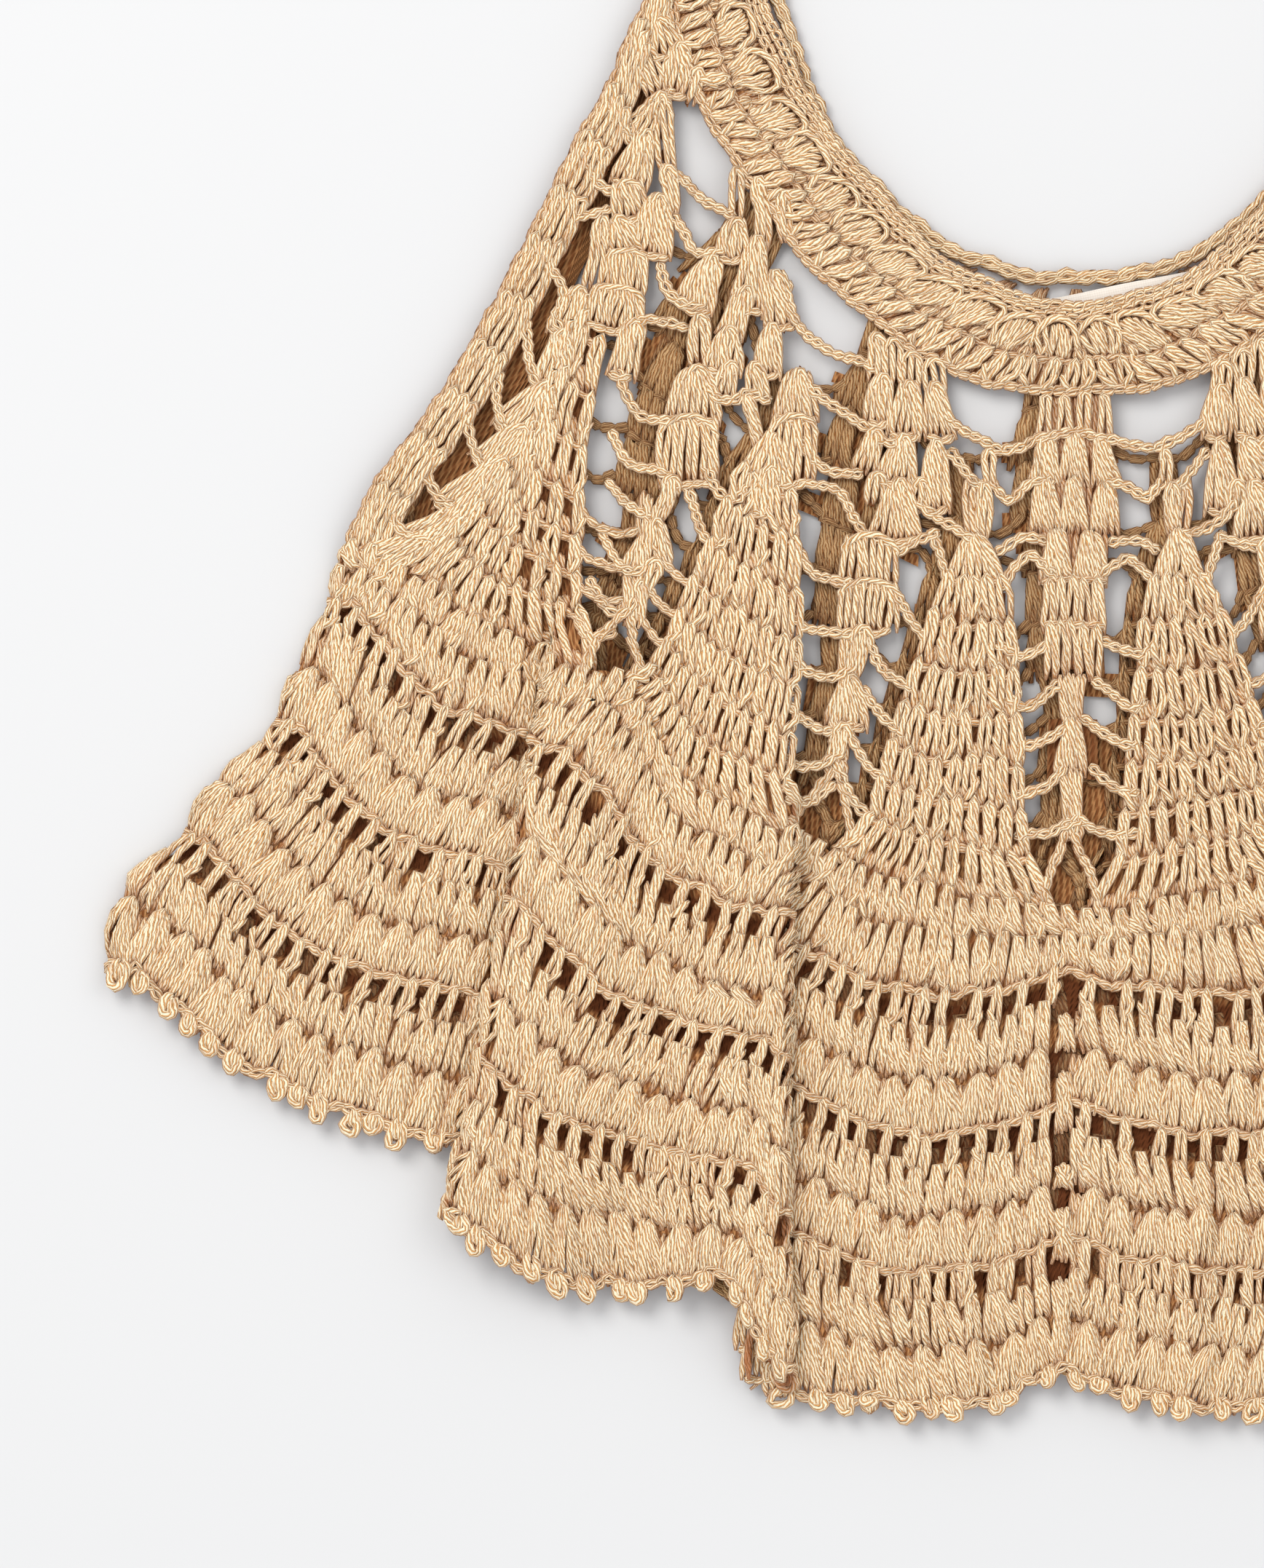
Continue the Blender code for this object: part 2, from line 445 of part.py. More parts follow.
def band_rows(name, body_row, inner, mid, front):
    """Rows across half a neckband, from its inner edge to the body, along the body's own grid columns."""
    ws = np.arange(len(inner), dtype=float)
    fine_w = np.linspace(0, len(inner) - 1, 800)
    out_x, out_y = curve(ws, [p[0] for p in BAND_OUT], fine_w), curve(ws, [p[1] for p in BAND_OUT], fine_w)
    in_x, in_y = curve(ws, [p[0] for p in inner], fine_w), curve(ws, [p[1] for p in inner], fine_w)
    outer_mm = np.stack([(out_x - CENTRE) * UNIT, (MIDDLE - out_y) * UNIT], 1)
    _, keys, pts = body_row
    left = [(k, p) for k, p in zip(keys, pts) if k[0] == "L"][::-1]
    right = [(k, p) for k, p in zip(keys, pts) if k[0] == "R"]
    straps = [-240.0, -205.0, -160.0, -110.0]
    rows = []
    for j, share in enumerate((0.0, 0.18, 0.5, 0.8, 1.0)):
        names, line = [], []

        def point(w, body, side):
            i = int(round(w / (len(inner) - 1) * 799))
            top = np.array([(in_x[i] - CENTRE) * UNIT * side, (MIDDLE - in_y[i]) * UNIT])
            low = np.array([(out_x[i] - CENTRE) * UNIT * side, (MIDDLE - out_y[i]) * UNIT]) if body is None else np.array(body[:2])
            if body is not None:
                low = low + (top - low) / np.linalg.norm(top - low) * BAND_GAP
            x, y = top + (low - top) * share
            z = mid
            if front:
                z += LABEL_LIFT * float(np.exp(-(x / 48.0) ** 8)) * float(np.interp(share, (0.45, 1), (1, 0)))
                end = (MIDDLE + 240.0) * UNIT - y
                if end < SIDE_CURL:
                    turn = np.arcsin(1 - end / SIDE_CURL)
                    z -= SIDE_CURL * (1 - cos(turn))
            return np.array([x, y, z])

        for side_name, half in (("L", left), ("R", right)):
            side = 1 if side_name == "L" else -1
            cells = [((side_name, "body", i), ("body", p)) for i, (k, p) in enumerate(half)]
            ends = list(straps)
            if front:
                ends = [-240.0, -240.0 + 2.2, -240.0 + 7.8] + [-240.0 + SIDE_CURL / UNIT] + ends[1:]
            else:
                ends = [-240.0 + BACK_INSET / UNIT * 0.8] + ends[1:]
            run = []
            for (key, (_, p)) in cells:
                w = fine_w[int(np.argmin(np.hypot(outer_mm[:, 0] - side * p[0], outer_mm[:, 1] - p[1])))] if side == 1 else \
                    fine_w[int(np.argmin(np.hypot(outer_mm[:, 0] + p[0], outer_mm[:, 1] - p[1])))]
                run.append((key, point(w, p, side)))
            top = []
            for i, y in enumerate(ends):
                w = float(np.interp(y, out_y[:400], fine_w[:400]))
                q = point(w, None, side)
                q[1] = (MIDDLE - y) * UNIT if i < len(ends) - 3 else q[1]
                if front:
                    end = (MIDDLE + 240.0) * UNIT - (MIDDLE - y) * UNIT
                    q[2] = mid - SIDE_CURL * (1 - cos(np.arcsin(np.clip(1 - end / SIDE_CURL, 0, 1))))
                top.append(((side_name, "strap", i), q))
            half_line = run + top[::-1]
            if side_name == "L":
                names += [k for k, _ in half_line[::-1]]
                line += [q for _, q in half_line[::-1]]
            else:
                names += [k for k, _ in half_line]
                line += [q for _, q in half_line]
        rows.append((share, names, line))
    return rows


def edging_rows(levels, folded, fine, shape):
    rows = both_halves(grid(levels, folded, fine, 9.3 if folded else 99), shape)
    level, keys, pts = rows[-1]
    above = rows[-2][2]
    waved = [p if i % 2 or k[1] in "ab" else p + (a - p) * 0.28 for i, (k, p, a) in enumerate(zip(keys, pts, above))]
    first, keys_1, pts_1 = rows[0]
    below = rows[1][2]
    eased = [p + (b - p) * (0.5 if k[1] in "ab" else 0.0) for k, p, b in zip(keys_1, pts_1, below)]
    return [(first, keys_1, eased)] + rows[1:-1] + [(level, keys, waved)]


def box(name, mark):
    w, h, t = (LABEL[k] / 2000 for k in ("width", "height", "thick"))
    turn = radians(LABEL["turn"])
    cx, cy = (LABEL["x"] - CENTRE) * UNIT / 1000, (MIDDLE - LABEL["y"]) * UNIT / 1000
    z0 = LABEL["lift"] / 1000
    points = []
    for z in (z0, z0 + 2 * t):
        for sx, sy in ((-w, -2 * h), (w, -2 * h), (w, 0), (-w, 0)):
            points.append((cx + sx * cos(turn) - sy * sin(turn), cy + sx * sin(turn) + sy * cos(turn), z))
    faces = [(3, 2, 1, 0), (4, 5, 6, 7), (0, 1, 5, 4), (1, 2, 6, 5), (2, 3, 7, 6), (3, 0, 4, 7)]
    mesh = bpy.data.meshes.new(name)
    mesh.from_pydata(points, [], faces)
    made = bpy.data.objects.new(name, mesh)
    COLLECTION.objects.link(made)
    material = bpy.data.materials.new(name + "_" + mark)
    material.diffuse_color = COLOURS[mark]
    material.use_nodes = True
    material.node_tree.nodes["Principled BSDF"].inputs["Base Color"].default_value = COLOURS[mark]
    mesh.materials.append(material)


BAND_GAP = 0.45  # mm between a band and its body
LABEL_LIFT = 1.35  # mm by which the front band stands over the label

front_rows = both_halves(grid(LINES, True, True, 9.3), front_edge)
back_rows = both_halves(grid(BACK_LINES, False, False, 99), back_edge)
front_hem = closed_wall("hem_edging_front", edging_rows(EDGING_LINES, True, True, front_edge), set(), WALL, "cotton")
back_hem = closed_wall("hem_edging_back", edging_rows(EDGING_LINES, False, False, back_edge), set(), WALL, "cotton_back")
closed_wall("front_body", front_rows, lace_holes(front_rows, LINES, True), WALL, "cotton", front_hem)
closed_wall("back_body", back_rows, lace_holes(back_rows, BACK_LINES, False), WALL, "cotton_back", back_hem)
closed_wall("neckband_front", band_rows("neckband_front", front_rows[0], BAND_IN, FRONT_MID, True), set(), WALL, "cotton")
closed_wall("neckband_back", band_rows("neckband_back", back_rows[0], BACK_BAND_IN, BACK_MID, False), set(), WALL, "cotton_back")
box("neck_label", "label")
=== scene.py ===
# %% [markdown]
# # A crochet top, laid flat
# The top is worked in rounds of cotton yarn, from a scalloped neckband down to a picot hem, and then laid
# flat, front over back, with two soft press folds on each side. A knitted or crocheted cloth isn't a smooth
# surface with a picture of stitches on it: it is yarn. So this lesson models the yarn itself, as many short
# bent tubes, laid on a map of the cloth, with a thin lining of cloth behind them, coloured dark as painted
# shade.
# Everything is in metres, in the frame that the solid model gives.

import bpy
import numpy as np
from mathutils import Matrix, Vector


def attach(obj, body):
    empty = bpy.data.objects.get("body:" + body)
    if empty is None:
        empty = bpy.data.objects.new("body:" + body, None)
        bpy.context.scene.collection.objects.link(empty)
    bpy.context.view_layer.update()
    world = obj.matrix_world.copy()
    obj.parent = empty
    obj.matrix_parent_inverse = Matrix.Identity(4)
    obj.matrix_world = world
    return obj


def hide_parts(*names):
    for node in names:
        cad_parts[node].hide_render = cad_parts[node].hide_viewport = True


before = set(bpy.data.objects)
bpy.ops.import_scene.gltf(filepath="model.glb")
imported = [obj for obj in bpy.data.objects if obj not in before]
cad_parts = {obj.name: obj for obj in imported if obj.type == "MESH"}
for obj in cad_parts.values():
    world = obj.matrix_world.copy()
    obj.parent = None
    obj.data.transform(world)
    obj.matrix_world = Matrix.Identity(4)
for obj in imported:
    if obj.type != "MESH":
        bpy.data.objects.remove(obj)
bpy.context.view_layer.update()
print("frame nodes:", sorted(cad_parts))

# %% [markdown]
# ## The chart
# A maker would draw the top as a chart: where each pattern repeat runs, round by round. The chart here has
# a place for every named column at a few levels, and smooth curves fill what lies between. A column is
# counted in repeats from the centre front, and a level in rounds from the neckband. One chart unit is
# 0.21 mm. The same numbers made the solids, so yarn and solids agree.

# %% Sizes of the chart
UNIT, CENTRE, MIDDLE = 0.21, 1480.0, 853.88  # mm in a unit; chart x of the centre; chart y where Y is 0
BACK_MID, FRONT_MID = 1.5, 5.0  # mm, mid height of the back and of the front
FOLD_TURN, SIDE_CURL = 2.0, 3.5  # mm, radii of a press fold and of the rolled side
BACK_INSET = 4.0  # mm that the back's sides lie inside the front's
NECK_HALF = 78.0  # mm, half width of the raised neck
BACK_SHIFT, BACK_BAND_LIFT = -22.0, 47.0  # chart units: the back lies to the left, its neckline higher
LAST, LABEL_LIFT = 3.3, 1.35  # the column at the side; mm that the front band stands over the label
STRAP_END, SPAN = -240, 13.0  # chart y of the shoulder; columns of the band from its centre to there
LEVELS = (0, 1, 5, 8, 12, 14, 18, 22, 25)
COLUMNS = {
    0.0: ((1480, 545), (1480, 598), (1480, 795), (1480, 985), (1480, 1250), (1480, 1345), (1480, 1530),
          (1480, 1725), (1480, 1900)),
    0.5: ((1345, 532), (1340, 600), (1340, 800), (1318, 990), (1290, 1225), (1272, 1385), (1255, 1580),
          (1240, 1775), (1270, 1955)),
    1.0: ((1250, 482), (1240, 540), (1197, 738), (1165, 925), (1130, 1160), (1090, 1290), (1040, 1440),
          (1020, 1625), (985, 1765)),
    1.5: ((1135, 393), (1118, 465), (1050, 665), (1020, 850), (950, 1080), (925, 1225), (870, 1400),
          (800, 1575), (830, 1795)),
    2.0: ((1060, 306), (1030, 350), (945, 560), (885, 740), (838, 922), (755, 1040), (700, 1262),
          (665, 1490), (612, 1700)),
    2.5: ((985, 178), (962, 262), (800, 445), (735, 640), (650, 850), (600, 985), (520, 1160),
          (440, 1340), (390, 1520)),
    3.0: ((938, 100), (905, 160), (825, 300), (725, 520), (520, 752), (480, 838), (400, 1018),
          (260, 1175), (173, 1352)),
}
BACK_COLUMNS = {
    0.0: ((1480, 1250), (1480, 1345), (1480, 1530), (1480, 1720), (1480, 1885)),
    0.5: ((1290, 1225), (1282, 1370), (1275, 1560), (1270, 1755), (1270, 1932)),
    1.0: ((1120, 1150), (1105, 1240), (1085, 1440), (1068, 1640), (1060, 1826)),
    1.5: ((950, 1060), (925, 1160), (890, 1340), (862, 1520), (850, 1694)),
    2.0: ((810, 940), (778, 1050), (722, 1215), (672, 1390), (640, 1566)),
    2.5: ((650, 850), (610, 945), (530, 1120), (455, 1300), (395, 1496)),
}
EDGE_LEVELS = (0, 1, 2, 3.5, 5, 6.5, 8, 9.5, 11, 12, 13, 14, 16, 18, 20, 22, 23, 24, 25)
EDGE = ((915, -50), (868, 40), (832, 125), (795, 185), (757, 262), (698, 378), (648, 470), (592, 560),
        (512, 668), (478, 738), (462, 785), (452, 832), (408, 915), (372, 1005), (298, 1068), (240, 1160),
        (180, 1205), (153, 1275), (146, 1345))
FOLD_LEVELS = (0, 5, 8, 10, 12, 14, 18, 22, 25)
FOLDS = {
    "B": dict(side=1, x=(1150, 1098, 1088, 1090, 1095, 1085, 1078, 1080, 1085),
              top_y=(0, 680, 880, 1010, 1140, 1268, 1470, 1690, 1908),
              low_y=(0, 700, 905, 1030, 1150, 1310, 1500, 1715, 1932),
              top=(1.30, 1.30, 1.27, 1.20, 1.13, 0.99, 0.91, 0.87, 0.84),
              low=(1.12, 1.12, 1.10, 1.08, 1.05, 0.90, 0.82, 0.78, 0.75)),
    "A": dict(side=-1, x=(1080, 905, 850, 790, 748, 730, 695, 657, 611),
              top_y=(0, 540, 730, 850, 945, 1035, 1262, 1495, 1702),
              low_y=(0, 530, 720, 840, 900, 1022, 1203, 1388, 1588),
              top=(2.12, 2.12, 2.12, 2.14, 2.18, 2.10, 2.03, 2.02, 2.01),
              low=(2.30, 2.30, 2.28, 2.26, 2.27, 2.20, 2.13, 2.12, 2.11)),
}
FOLD_DEEP = (3.5, 3.5, 3.5, 3.5, 3.8, 5.5, 8, 9, 9)  # mm hidden under each fold, at the fold levels
RISE_LEVELS = (0, 4, 6, 8.5, 10, 11.5, 25)  # how far each fold has risen to its full height
RISE = dict(B=(0, 0, 0.35, 0.5, 0.75, 1, 1), A=(0, 0, 0, 0.05, 0.4, 1, 1))
TUCK_LEVELS, TUCK = (0, 11, 12, 13.2, 25), (0, 0, 0.35, 1, 1)  # how far each fold has closed to an S
SAG_LEVELS, SAG = (0, 4, 11, 13, 25), (0, 6, 10, 26, 30)  # chart units that a round hangs between columns
HEM_RIDGES = ((1322, 26.0, 3.0), (1492, 30.0, 2.6))  # chart x, reach in chart units, height in mm
BAND_IN = ((1035, -240), (1036, -150), (1040, -60), (1050, 5), (1073, 60), (1103, 125), (1150, 200),
           (1197, 258), (1245, 312), (1300, 360), (1350, 390), (1400, 407), (1440, 417), (1480, 422))
BACK_BAND_IN = ((1058, -240), (1060, -150), (1066, -60), (1076, 5), (1089, 55), (1106, 108), (1150, 190),
                (1197, 246), (1248, 298), (1300, 335), (1350, 360), (1400, 374), (1440, 379), (1480, 379))
BAND_OUT = ((910, -240), (911, -150), (914, -60), (922, 35), (938, 98), (960, 150), (1000, 212),
            (1040, 275), (1095, 350), (1140, 395), (1195, 442), (1250, 482), (1345, 530), (1480, 545))
print(len(COLUMNS), "columns at", len(LEVELS), "levels")

# %% [markdown]
# ## Curves that never overshoot
# A plain spline through chart points can swing past them, which would make ripples in cloth. This one
# limits its slopes, so that a column stays between the points it is given.


# %% Curves
def slopes(x, y):
    h, d = np.diff(x), np.diff(y) / np.diff(x)
    m = np.zeros(len(x))
    m[0], m[-1] = d[0], d[-1]
    for i in range(1, len(x) - 1):
        if d[i - 1] * d[i] > 0:
            w1, w2 = 2 * h[i] + h[i - 1], h[i] + 2 * h[i - 1]
            m[i] = (w1 + w2) / (w1 / d[i - 1] + w2 / d[i])
    return m


def curve(x, y, at):
    x, y, at = (np.asarray(v, float) for v in (x, y, at))
    m, at = slopes(x, y), np.clip(at, x[0], x[-1])
    i = np.clip(np.searchsorted(x, at, side="right") - 1, 0, len(x) - 2)
    h = x[i + 1] - x[i]
    t = (at - x[i]) / h
    return (y[i] * (1 + 2 * t) * (1 - t) ** 2 + m[i] * h * t * (1 - t) ** 2
            + y[i + 1] * t * t * (3 - 2 * t) + m[i + 1] * h * t * t * (t - 1))


def chart_column(points, levels, level):
    return [float(curve(levels, [p[i] for p in points], level)) for i in (0, 1)]


def unit(v):
    """The same directions with length 1."""
    return v / np.maximum(np.linalg.norm(v, axis=-1, keepdims=True), 1e-9)


def run_along(points):
    """How far along its line each point lies, from 0."""
    step = np.linalg.norm(np.diff(points, axis=-2), axis=-1)
    return np.concatenate([np.zeros_like(step[..., :1]), np.cumsum(step, -1)], -1)


def rolled(d):
    """How far a rolled edge has dropped at d from it, all in mm."""
    return SIDE_CURL * (1 - np.cos(np.arcsin(np.clip(1 - d / SIDE_CURL, 0, 1))))


print("column 0.5 at level 10:", [round(v) for v in chart_column(COLUMNS[0.5], LEVELS, 10)])

# %% [markdown]
# ## How the cloth lies
# The front is wider than the space it lies in, so it is laid in folds shaped like a flat letter S: the
# middle section lies on top, the cloth turns under, comes back, and turns out again. One round is worked
# out at a time: three flat stretches, and the two folds between them. Each stretch gets the same number
# of samples at every level, so the samples make a grid.

# %% One round of the left half
SAMPLES = (64, 24, 64, 24, 96)  # centre stretch, fold B, middle stretch, fold A, outer stretch
EASE = 34  # mm over which a stretch falls from a fold's height to the flat


def s_fold(q, deep):
    """Across a fold, q from 0 on the upper side to 1 on the lower: (along, height) in mm."""
    r, a, b = FOLD_TURN, np.pi * np.clip(q * 8 / 3, 0, 1), np.pi * np.clip((q - 0.5) * 8 / 3, 0, 1)
    run, out = np.clip((q - 0.375) * 8, 0, 1), np.clip((q - 0.875) * 8, 0, 1)
    along = np.where(q < 0.375, -r + r * np.sin(a), np.where(q < 0.5, -r - deep * run,
                     np.where(q < 0.875, -r - deep - r * np.sin(b), (-r - deep) * (1 - out))))
    return along, np.where(q < 0.5, 3 * r + r * np.cos(a), r + r * np.cos(b))


def fold_ends(name, level, x_at, y_at, tuck, folded):
    """Where a fold starts and ends on one round, in chart units, and how high it stands."""
    fold = FOLDS[name]
    top, low, ridge, top_y, low_y = (
        float(curve(FOLD_LEVELS, fold[k], level)) for k in ("top", "low", "x", "top_y", "low_y"))
    over = ridge - fold["side"] * FOLD_TURN / UNIT
    return dict(top=top, low=low, ridge=ridge,
                top_x=(1 - tuck) * x_at(top) + tuck * over, low_x=(1 - tuck) * x_at(low) + tuck * ridge,
                top_y=(1 - tuck) * y_at(top) + tuck * top_y, low_y=(1 - tuck) * y_at(low) + tuck * low_y,
                rise=float(np.interp(level, RISE_LEVELS, RISE[name])) if folded else 0.0)


def fall(d):
    """From 1 at 0 to 0 at 1, smoothly."""
    d = np.clip(d, 0, 1)
    return (1 - d) ** 2 * (1 + 2 * d)


def one_round(level, folded):
    """Chart x, y and height in mm of the samples, and the columns where the stretches end."""
    names = sorted(COLUMNS)
    cut = {k: COLUMNS[k] if folded or k not in BACK_COLUMNS else COLUMNS[k][:4] + BACK_COLUMNS[k]
           for k in names}
    at = np.array([chart_column(cut[k], LEVELS, level) for k in names]
                  + [chart_column(EDGE, EDGE_LEVELS, level)])
    names = np.array(names + [LAST])
    tuck = float(np.interp(level, TUCK_LEVELS, TUCK)) if folded else 0.0
    deep = float(curve(FOLD_LEVELS, FOLD_DEEP, level))
    x_at, y_at = (lambda u, i=i: float(curve(names, at[:, i], u)) for i in (0, 1))
    a, b = (fold_ends(name, level, x_at, y_at, tuck, folded) for name in "AB")
    sag = float(np.interp(level, SAG_LEVELS, SAG))
    limits = [0.0, b["low"], b["top"], a["top"], a["low"], LAST]
    ends = [tuple(at[0]), (b["low_x"], b["low_y"]), (b["top_x"], b["top_y"]), (a["top_x"], a["top_y"]),
            (a["low_x"], a["low_y"]), tuple(at[-1])]
    parts = []
    for k, count in enumerate(SAMPLES):
        share = np.arange(count + (k == 4)) / count
        if k in (1, 3):
            fold, far, side = (b, 1 - share, 1) if k == 1 else (a, share, -1)
            along, height = s_fold(far, deep)
            parts.append(((1 - tuck) * (fold["top_x"] + (fold["low_x"] - fold["top_x"]) * far)
                          + tuck * (fold["ridge"] + side * along / UNIT),
                          fold["top_y"] + (fold["low_y"] - fold["top_y"]) * far,
                          FRONT_MID + fold["rise"] * height))
            continue
        u = limits[k] + (limits[k + 1] - limits[k]) * share
        keep = [i for i in range(len(names)) if limits[k] + 0.06 < names[i] < limits[k + 1] - 0.06]
        knots = np.array([limits[k], *names[keep], limits[k + 1]])
        x, y = (curve(knots, [ends[k][i], *at[keep, i], ends[k + 1][i]], u) for i in (0, 1))
        f = np.mod(u, 1.0)
        y = y + sag * (4 * f * (1 - f) - (1 - np.cos(2 * np.pi * f)) / 2)
        ridges = sum(tall * np.exp(-((x - place) / reach) ** 2) for place, reach, tall in HEM_RIDGES)
        z = FRONT_MID + np.interp(y, (1560, 1680), (0, 1)) * ridges
        if k == 2:
            flat = tuck * (deep + 2 * FOLD_TURN + 1) / UNIT
            z = z + 4 * FOLD_TURN * (b["rise"] * fall((b["top_x"] - x - flat) * UNIT / EASE)
                                     + a["rise"] * fall((x - a["top_x"] - flat) * UNIT / EASE))
        parts.append((x, y, z))
    x, y, z = (np.concatenate(v) for v in zip(*parts))
    return x, y, z if folded else np.full(len(x), BACK_MID), limits


# %% [markdown]
# ## A map of each cloth
# A stitch is placed by its level, its column and its height over the cloth. The map turns those three
# numbers into a point in space and the direction that stands up from the cloth there. It holds a fine grid
# of points and reads between them, for thousands of stitches at once.


# %% The map
class Cloth:
    """Places (level, column, height) in space. A negative column is on the right half."""

    def __init__(self, first, step, limits, counts, points):
        self.first, self.step, self.limits = first, step, np.array(limits)
        self.counts = np.concatenate([[0], np.cumsum(counts)])
        self.points, self.half = points, (points.shape[1] - 1) // 2
        self.up = unit(np.cross(np.gradient(points, axis=0), np.gradient(points, axis=1)))
        self.ridges = {}  # only the folded front has them

    def index(self, level, column):
        """Row and column of the grid, which stretch of the round, and how far along it."""
        j = np.clip((level - self.first) / self.step, 0, len(self.limits) - 1.001)
        j0 = j.astype(int)
        t = (j - j0)[..., None]
        limit = self.limits[j0] * (1 - t) + self.limits[j0 + 1] * t
        away = np.abs(column)
        k = (away[..., None] >= limit[..., 1:-1]).sum(-1)
        lo, hi = (np.take_along_axis(limit, (k + i)[..., None], -1)[..., 0] for i in (0, 1))
        s = self.counts[k] + np.clip((away - lo) / (hi - lo), 0, 1) * (self.counts[k + 1] - self.counts[k])
        return j, self.half - np.sign(column) * s, k, (away - lo) / (hi - lo)

    def at(self, level, column, height=0.0):
        """Points in mm and the up directions there."""
        level, column = np.broadcast_arrays(np.asarray(level, float), np.asarray(column, float))
        j, i, _, _ = self.index(level, column)
        j0, i0 = j.astype(int), np.clip(i.astype(int), 0, 2 * self.half - 1)
        a, b = (j - j0)[..., None], (i - i0)[..., None]
        mix = lambda g: ((g[j0, i0] * (1 - b) + g[j0, i0 + 1] * b) * (1 - a)
                         + (g[j0 + 1, i0] * (1 - b) + g[j0 + 1, i0 + 1] * b) * a)
        up = unit(mix(self.up))
        return mix(self.points) + up * np.asarray(height)[..., None] * np.ones_like(up), up

    def per_column(self, level, column):
        """mm of cloth in one column at this place."""
        near, far = (self.at(level, column + d)[0] for d in (-0.01, 0.01))
        return np.maximum(np.linalg.norm(far - near, axis=-1) / 0.02, 5.0)

    def hidden(self, level, column):
        """True inside a press fold, where nobody sees the stitches."""
        level, column = np.broadcast_arrays(np.asarray(level, float), np.asarray(column, float))
        _, _, k, share = self.index(level, column)
        far = np.where(k == 1, 1 - share, share)
        spot = self.at(level, np.abs(column))[0]
        under = np.zeros(level.shape, bool)
        for name, layers, side in (("B", (0, 1), 1), ("A", (3, 4), -1)):
            if name in self.ridges:
                x, y = self.ridges[name]
                edge = np.interp(-spot[..., 1], -y, x)
                here = np.isin(k, layers) & ((far > 0.42) | (k == layers[side < 0]))
                under |= here & (spot[..., 1] > y[-1]) & (side * (edge - spot[..., 0]) > 1.6)
        return under & (level > 12.4)


def chart_mm(x, y):
    """A chart place in mm from the middle."""
    return np.stack([(np.asarray(x, float) - CENTRE) * UNIT, (MIDDLE - np.asarray(y, float)) * UNIT], -1)


def lay_half(level, x, y, z, folded):
    """One half of a round, in mm, with the rolled side of the front or the narrower back."""
    shift = -np.interp(y, (700, 1000, 1900), (6, 8, 26)) * np.exp(-((x - CENTRE) / 70.0) ** 2)  # hangs left
    half = np.stack([(x - CENTRE + shift) * UNIT, (MIDDLE - y) * UNIT, z], -1)
    if folded and level > 11.9:
        d = np.linalg.norm(half[:, :2] - half[-1, :2].copy(), axis=1)
        outer = np.arange(len(d)) > 170  # samples outside the folds
        half[:, 2] -= np.interp(level, (11.9, 13), (0, 1)) * rolled(d) * outer
    if not folded:
        width = abs(half[-1, 0])
        free = np.clip(1 - (np.abs(half[:, 0]) / max(width, 1)) ** 6, 0, 1)
        raised = BACK_BAND_LIFT * UNIT * np.interp(level, (0, 6), (1, 0))
        half[:, 1] += raised * np.exp(-(half[:, 0] / NECK_HALF) ** 4)
        share = np.clip(1 - (width - np.abs(half[:, 0])) / 30.0, 0, 1)
        inset = BACK_INSET * np.interp(level, (10.6, 12.0), (0, 1)) * share
        moved = BACK_SHIFT * UNIT * free * np.interp(level, (0, 2, 12, 16), (0.4, 1, 1, 0))
        half[:, 0] += moved - np.sign(half[:, 0]) * inset
    return half


def lay_body(folded):
    points, limits = [], []
    for level in np.arange(0, 25.51, 0.25):
        x, y, z, limit = one_round(min(level, 25.3), folded)  # the map goes a little past the hem
        left, right = (lay_half(level, each, y, z, folded) for each in (x, 2 * CENTRE - x))
        points.append(np.concatenate([left[::-1], right[1:]]))
        limits.append(limit)
    made = Cloth(0.0, 0.25, limits, SAMPLES, np.array(points))
    if folded:
        for name, s in (("B", made.counts[1] + 24 * 0.8125), ("A", made.counts[3] + 24 * 0.1875)):
            line = made.points[50:, made.half - int(s)]
            made.ridges[name] = line[:, 0], line[:, 1]
    return made


def lay_band(inner, mid, front):
    """The neckband: level 0 is its inner edge and level 1 its outer edge."""
    count, w = 260, np.arange(SPAN + 1)
    at = SPAN - np.arange(count + 1) / count * SPAN
    inside, outside = (np.stack([curve(w, [p[i] for p in line], at) for i in (0, 1)], -1)
                       for line in (inner, BAND_OUT))
    points = []
    for share in np.linspace(-0.1, 1.1, 25):
        p = inside + (outside - inside) * share
        x, lift, z = (p[:, 0] - CENTRE) * UNIT, 0.0, np.full(count + 1, mid)
        if not front:
            lift = BACK_BAND_LIFT * np.exp(-(x / NECK_HALF) ** 4) * np.clip(share, 0, 1)
        y = (MIDDLE - p[:, 1] + lift) * UNIT
        if front:
            z += LABEL_LIFT * np.exp(-(x / 48.0) ** 8) * np.interp(share, (0.45, 1), (1, 0))
            z -= rolled((MIDDLE - STRAP_END) * UNIT - y)
        half = np.stack([x, y, z], -1)
        points.append(np.concatenate([half[::-1], (half * (-1, 1, 1))[1:]]))
    return Cloth(-0.1, 0.05, [[0.0, SPAN]] * 25, [count], np.array(points))


front, back = lay_body(True), lay_body(False)
front_band, back_band = lay_band(BAND_IN, FRONT_MID, True), lay_band(BACK_BAND_IN, BACK_MID, False)
print("front map:", front.points.shape, "band map:", front_band.points.shape)

# %% [markdown]
# ## The front's own lace
# On the front the lace hangs a little crooked, because the top was laid by hand. Its clusters and chains
# are placed one by one on the chart, for the left half, and the right half mirrors them.

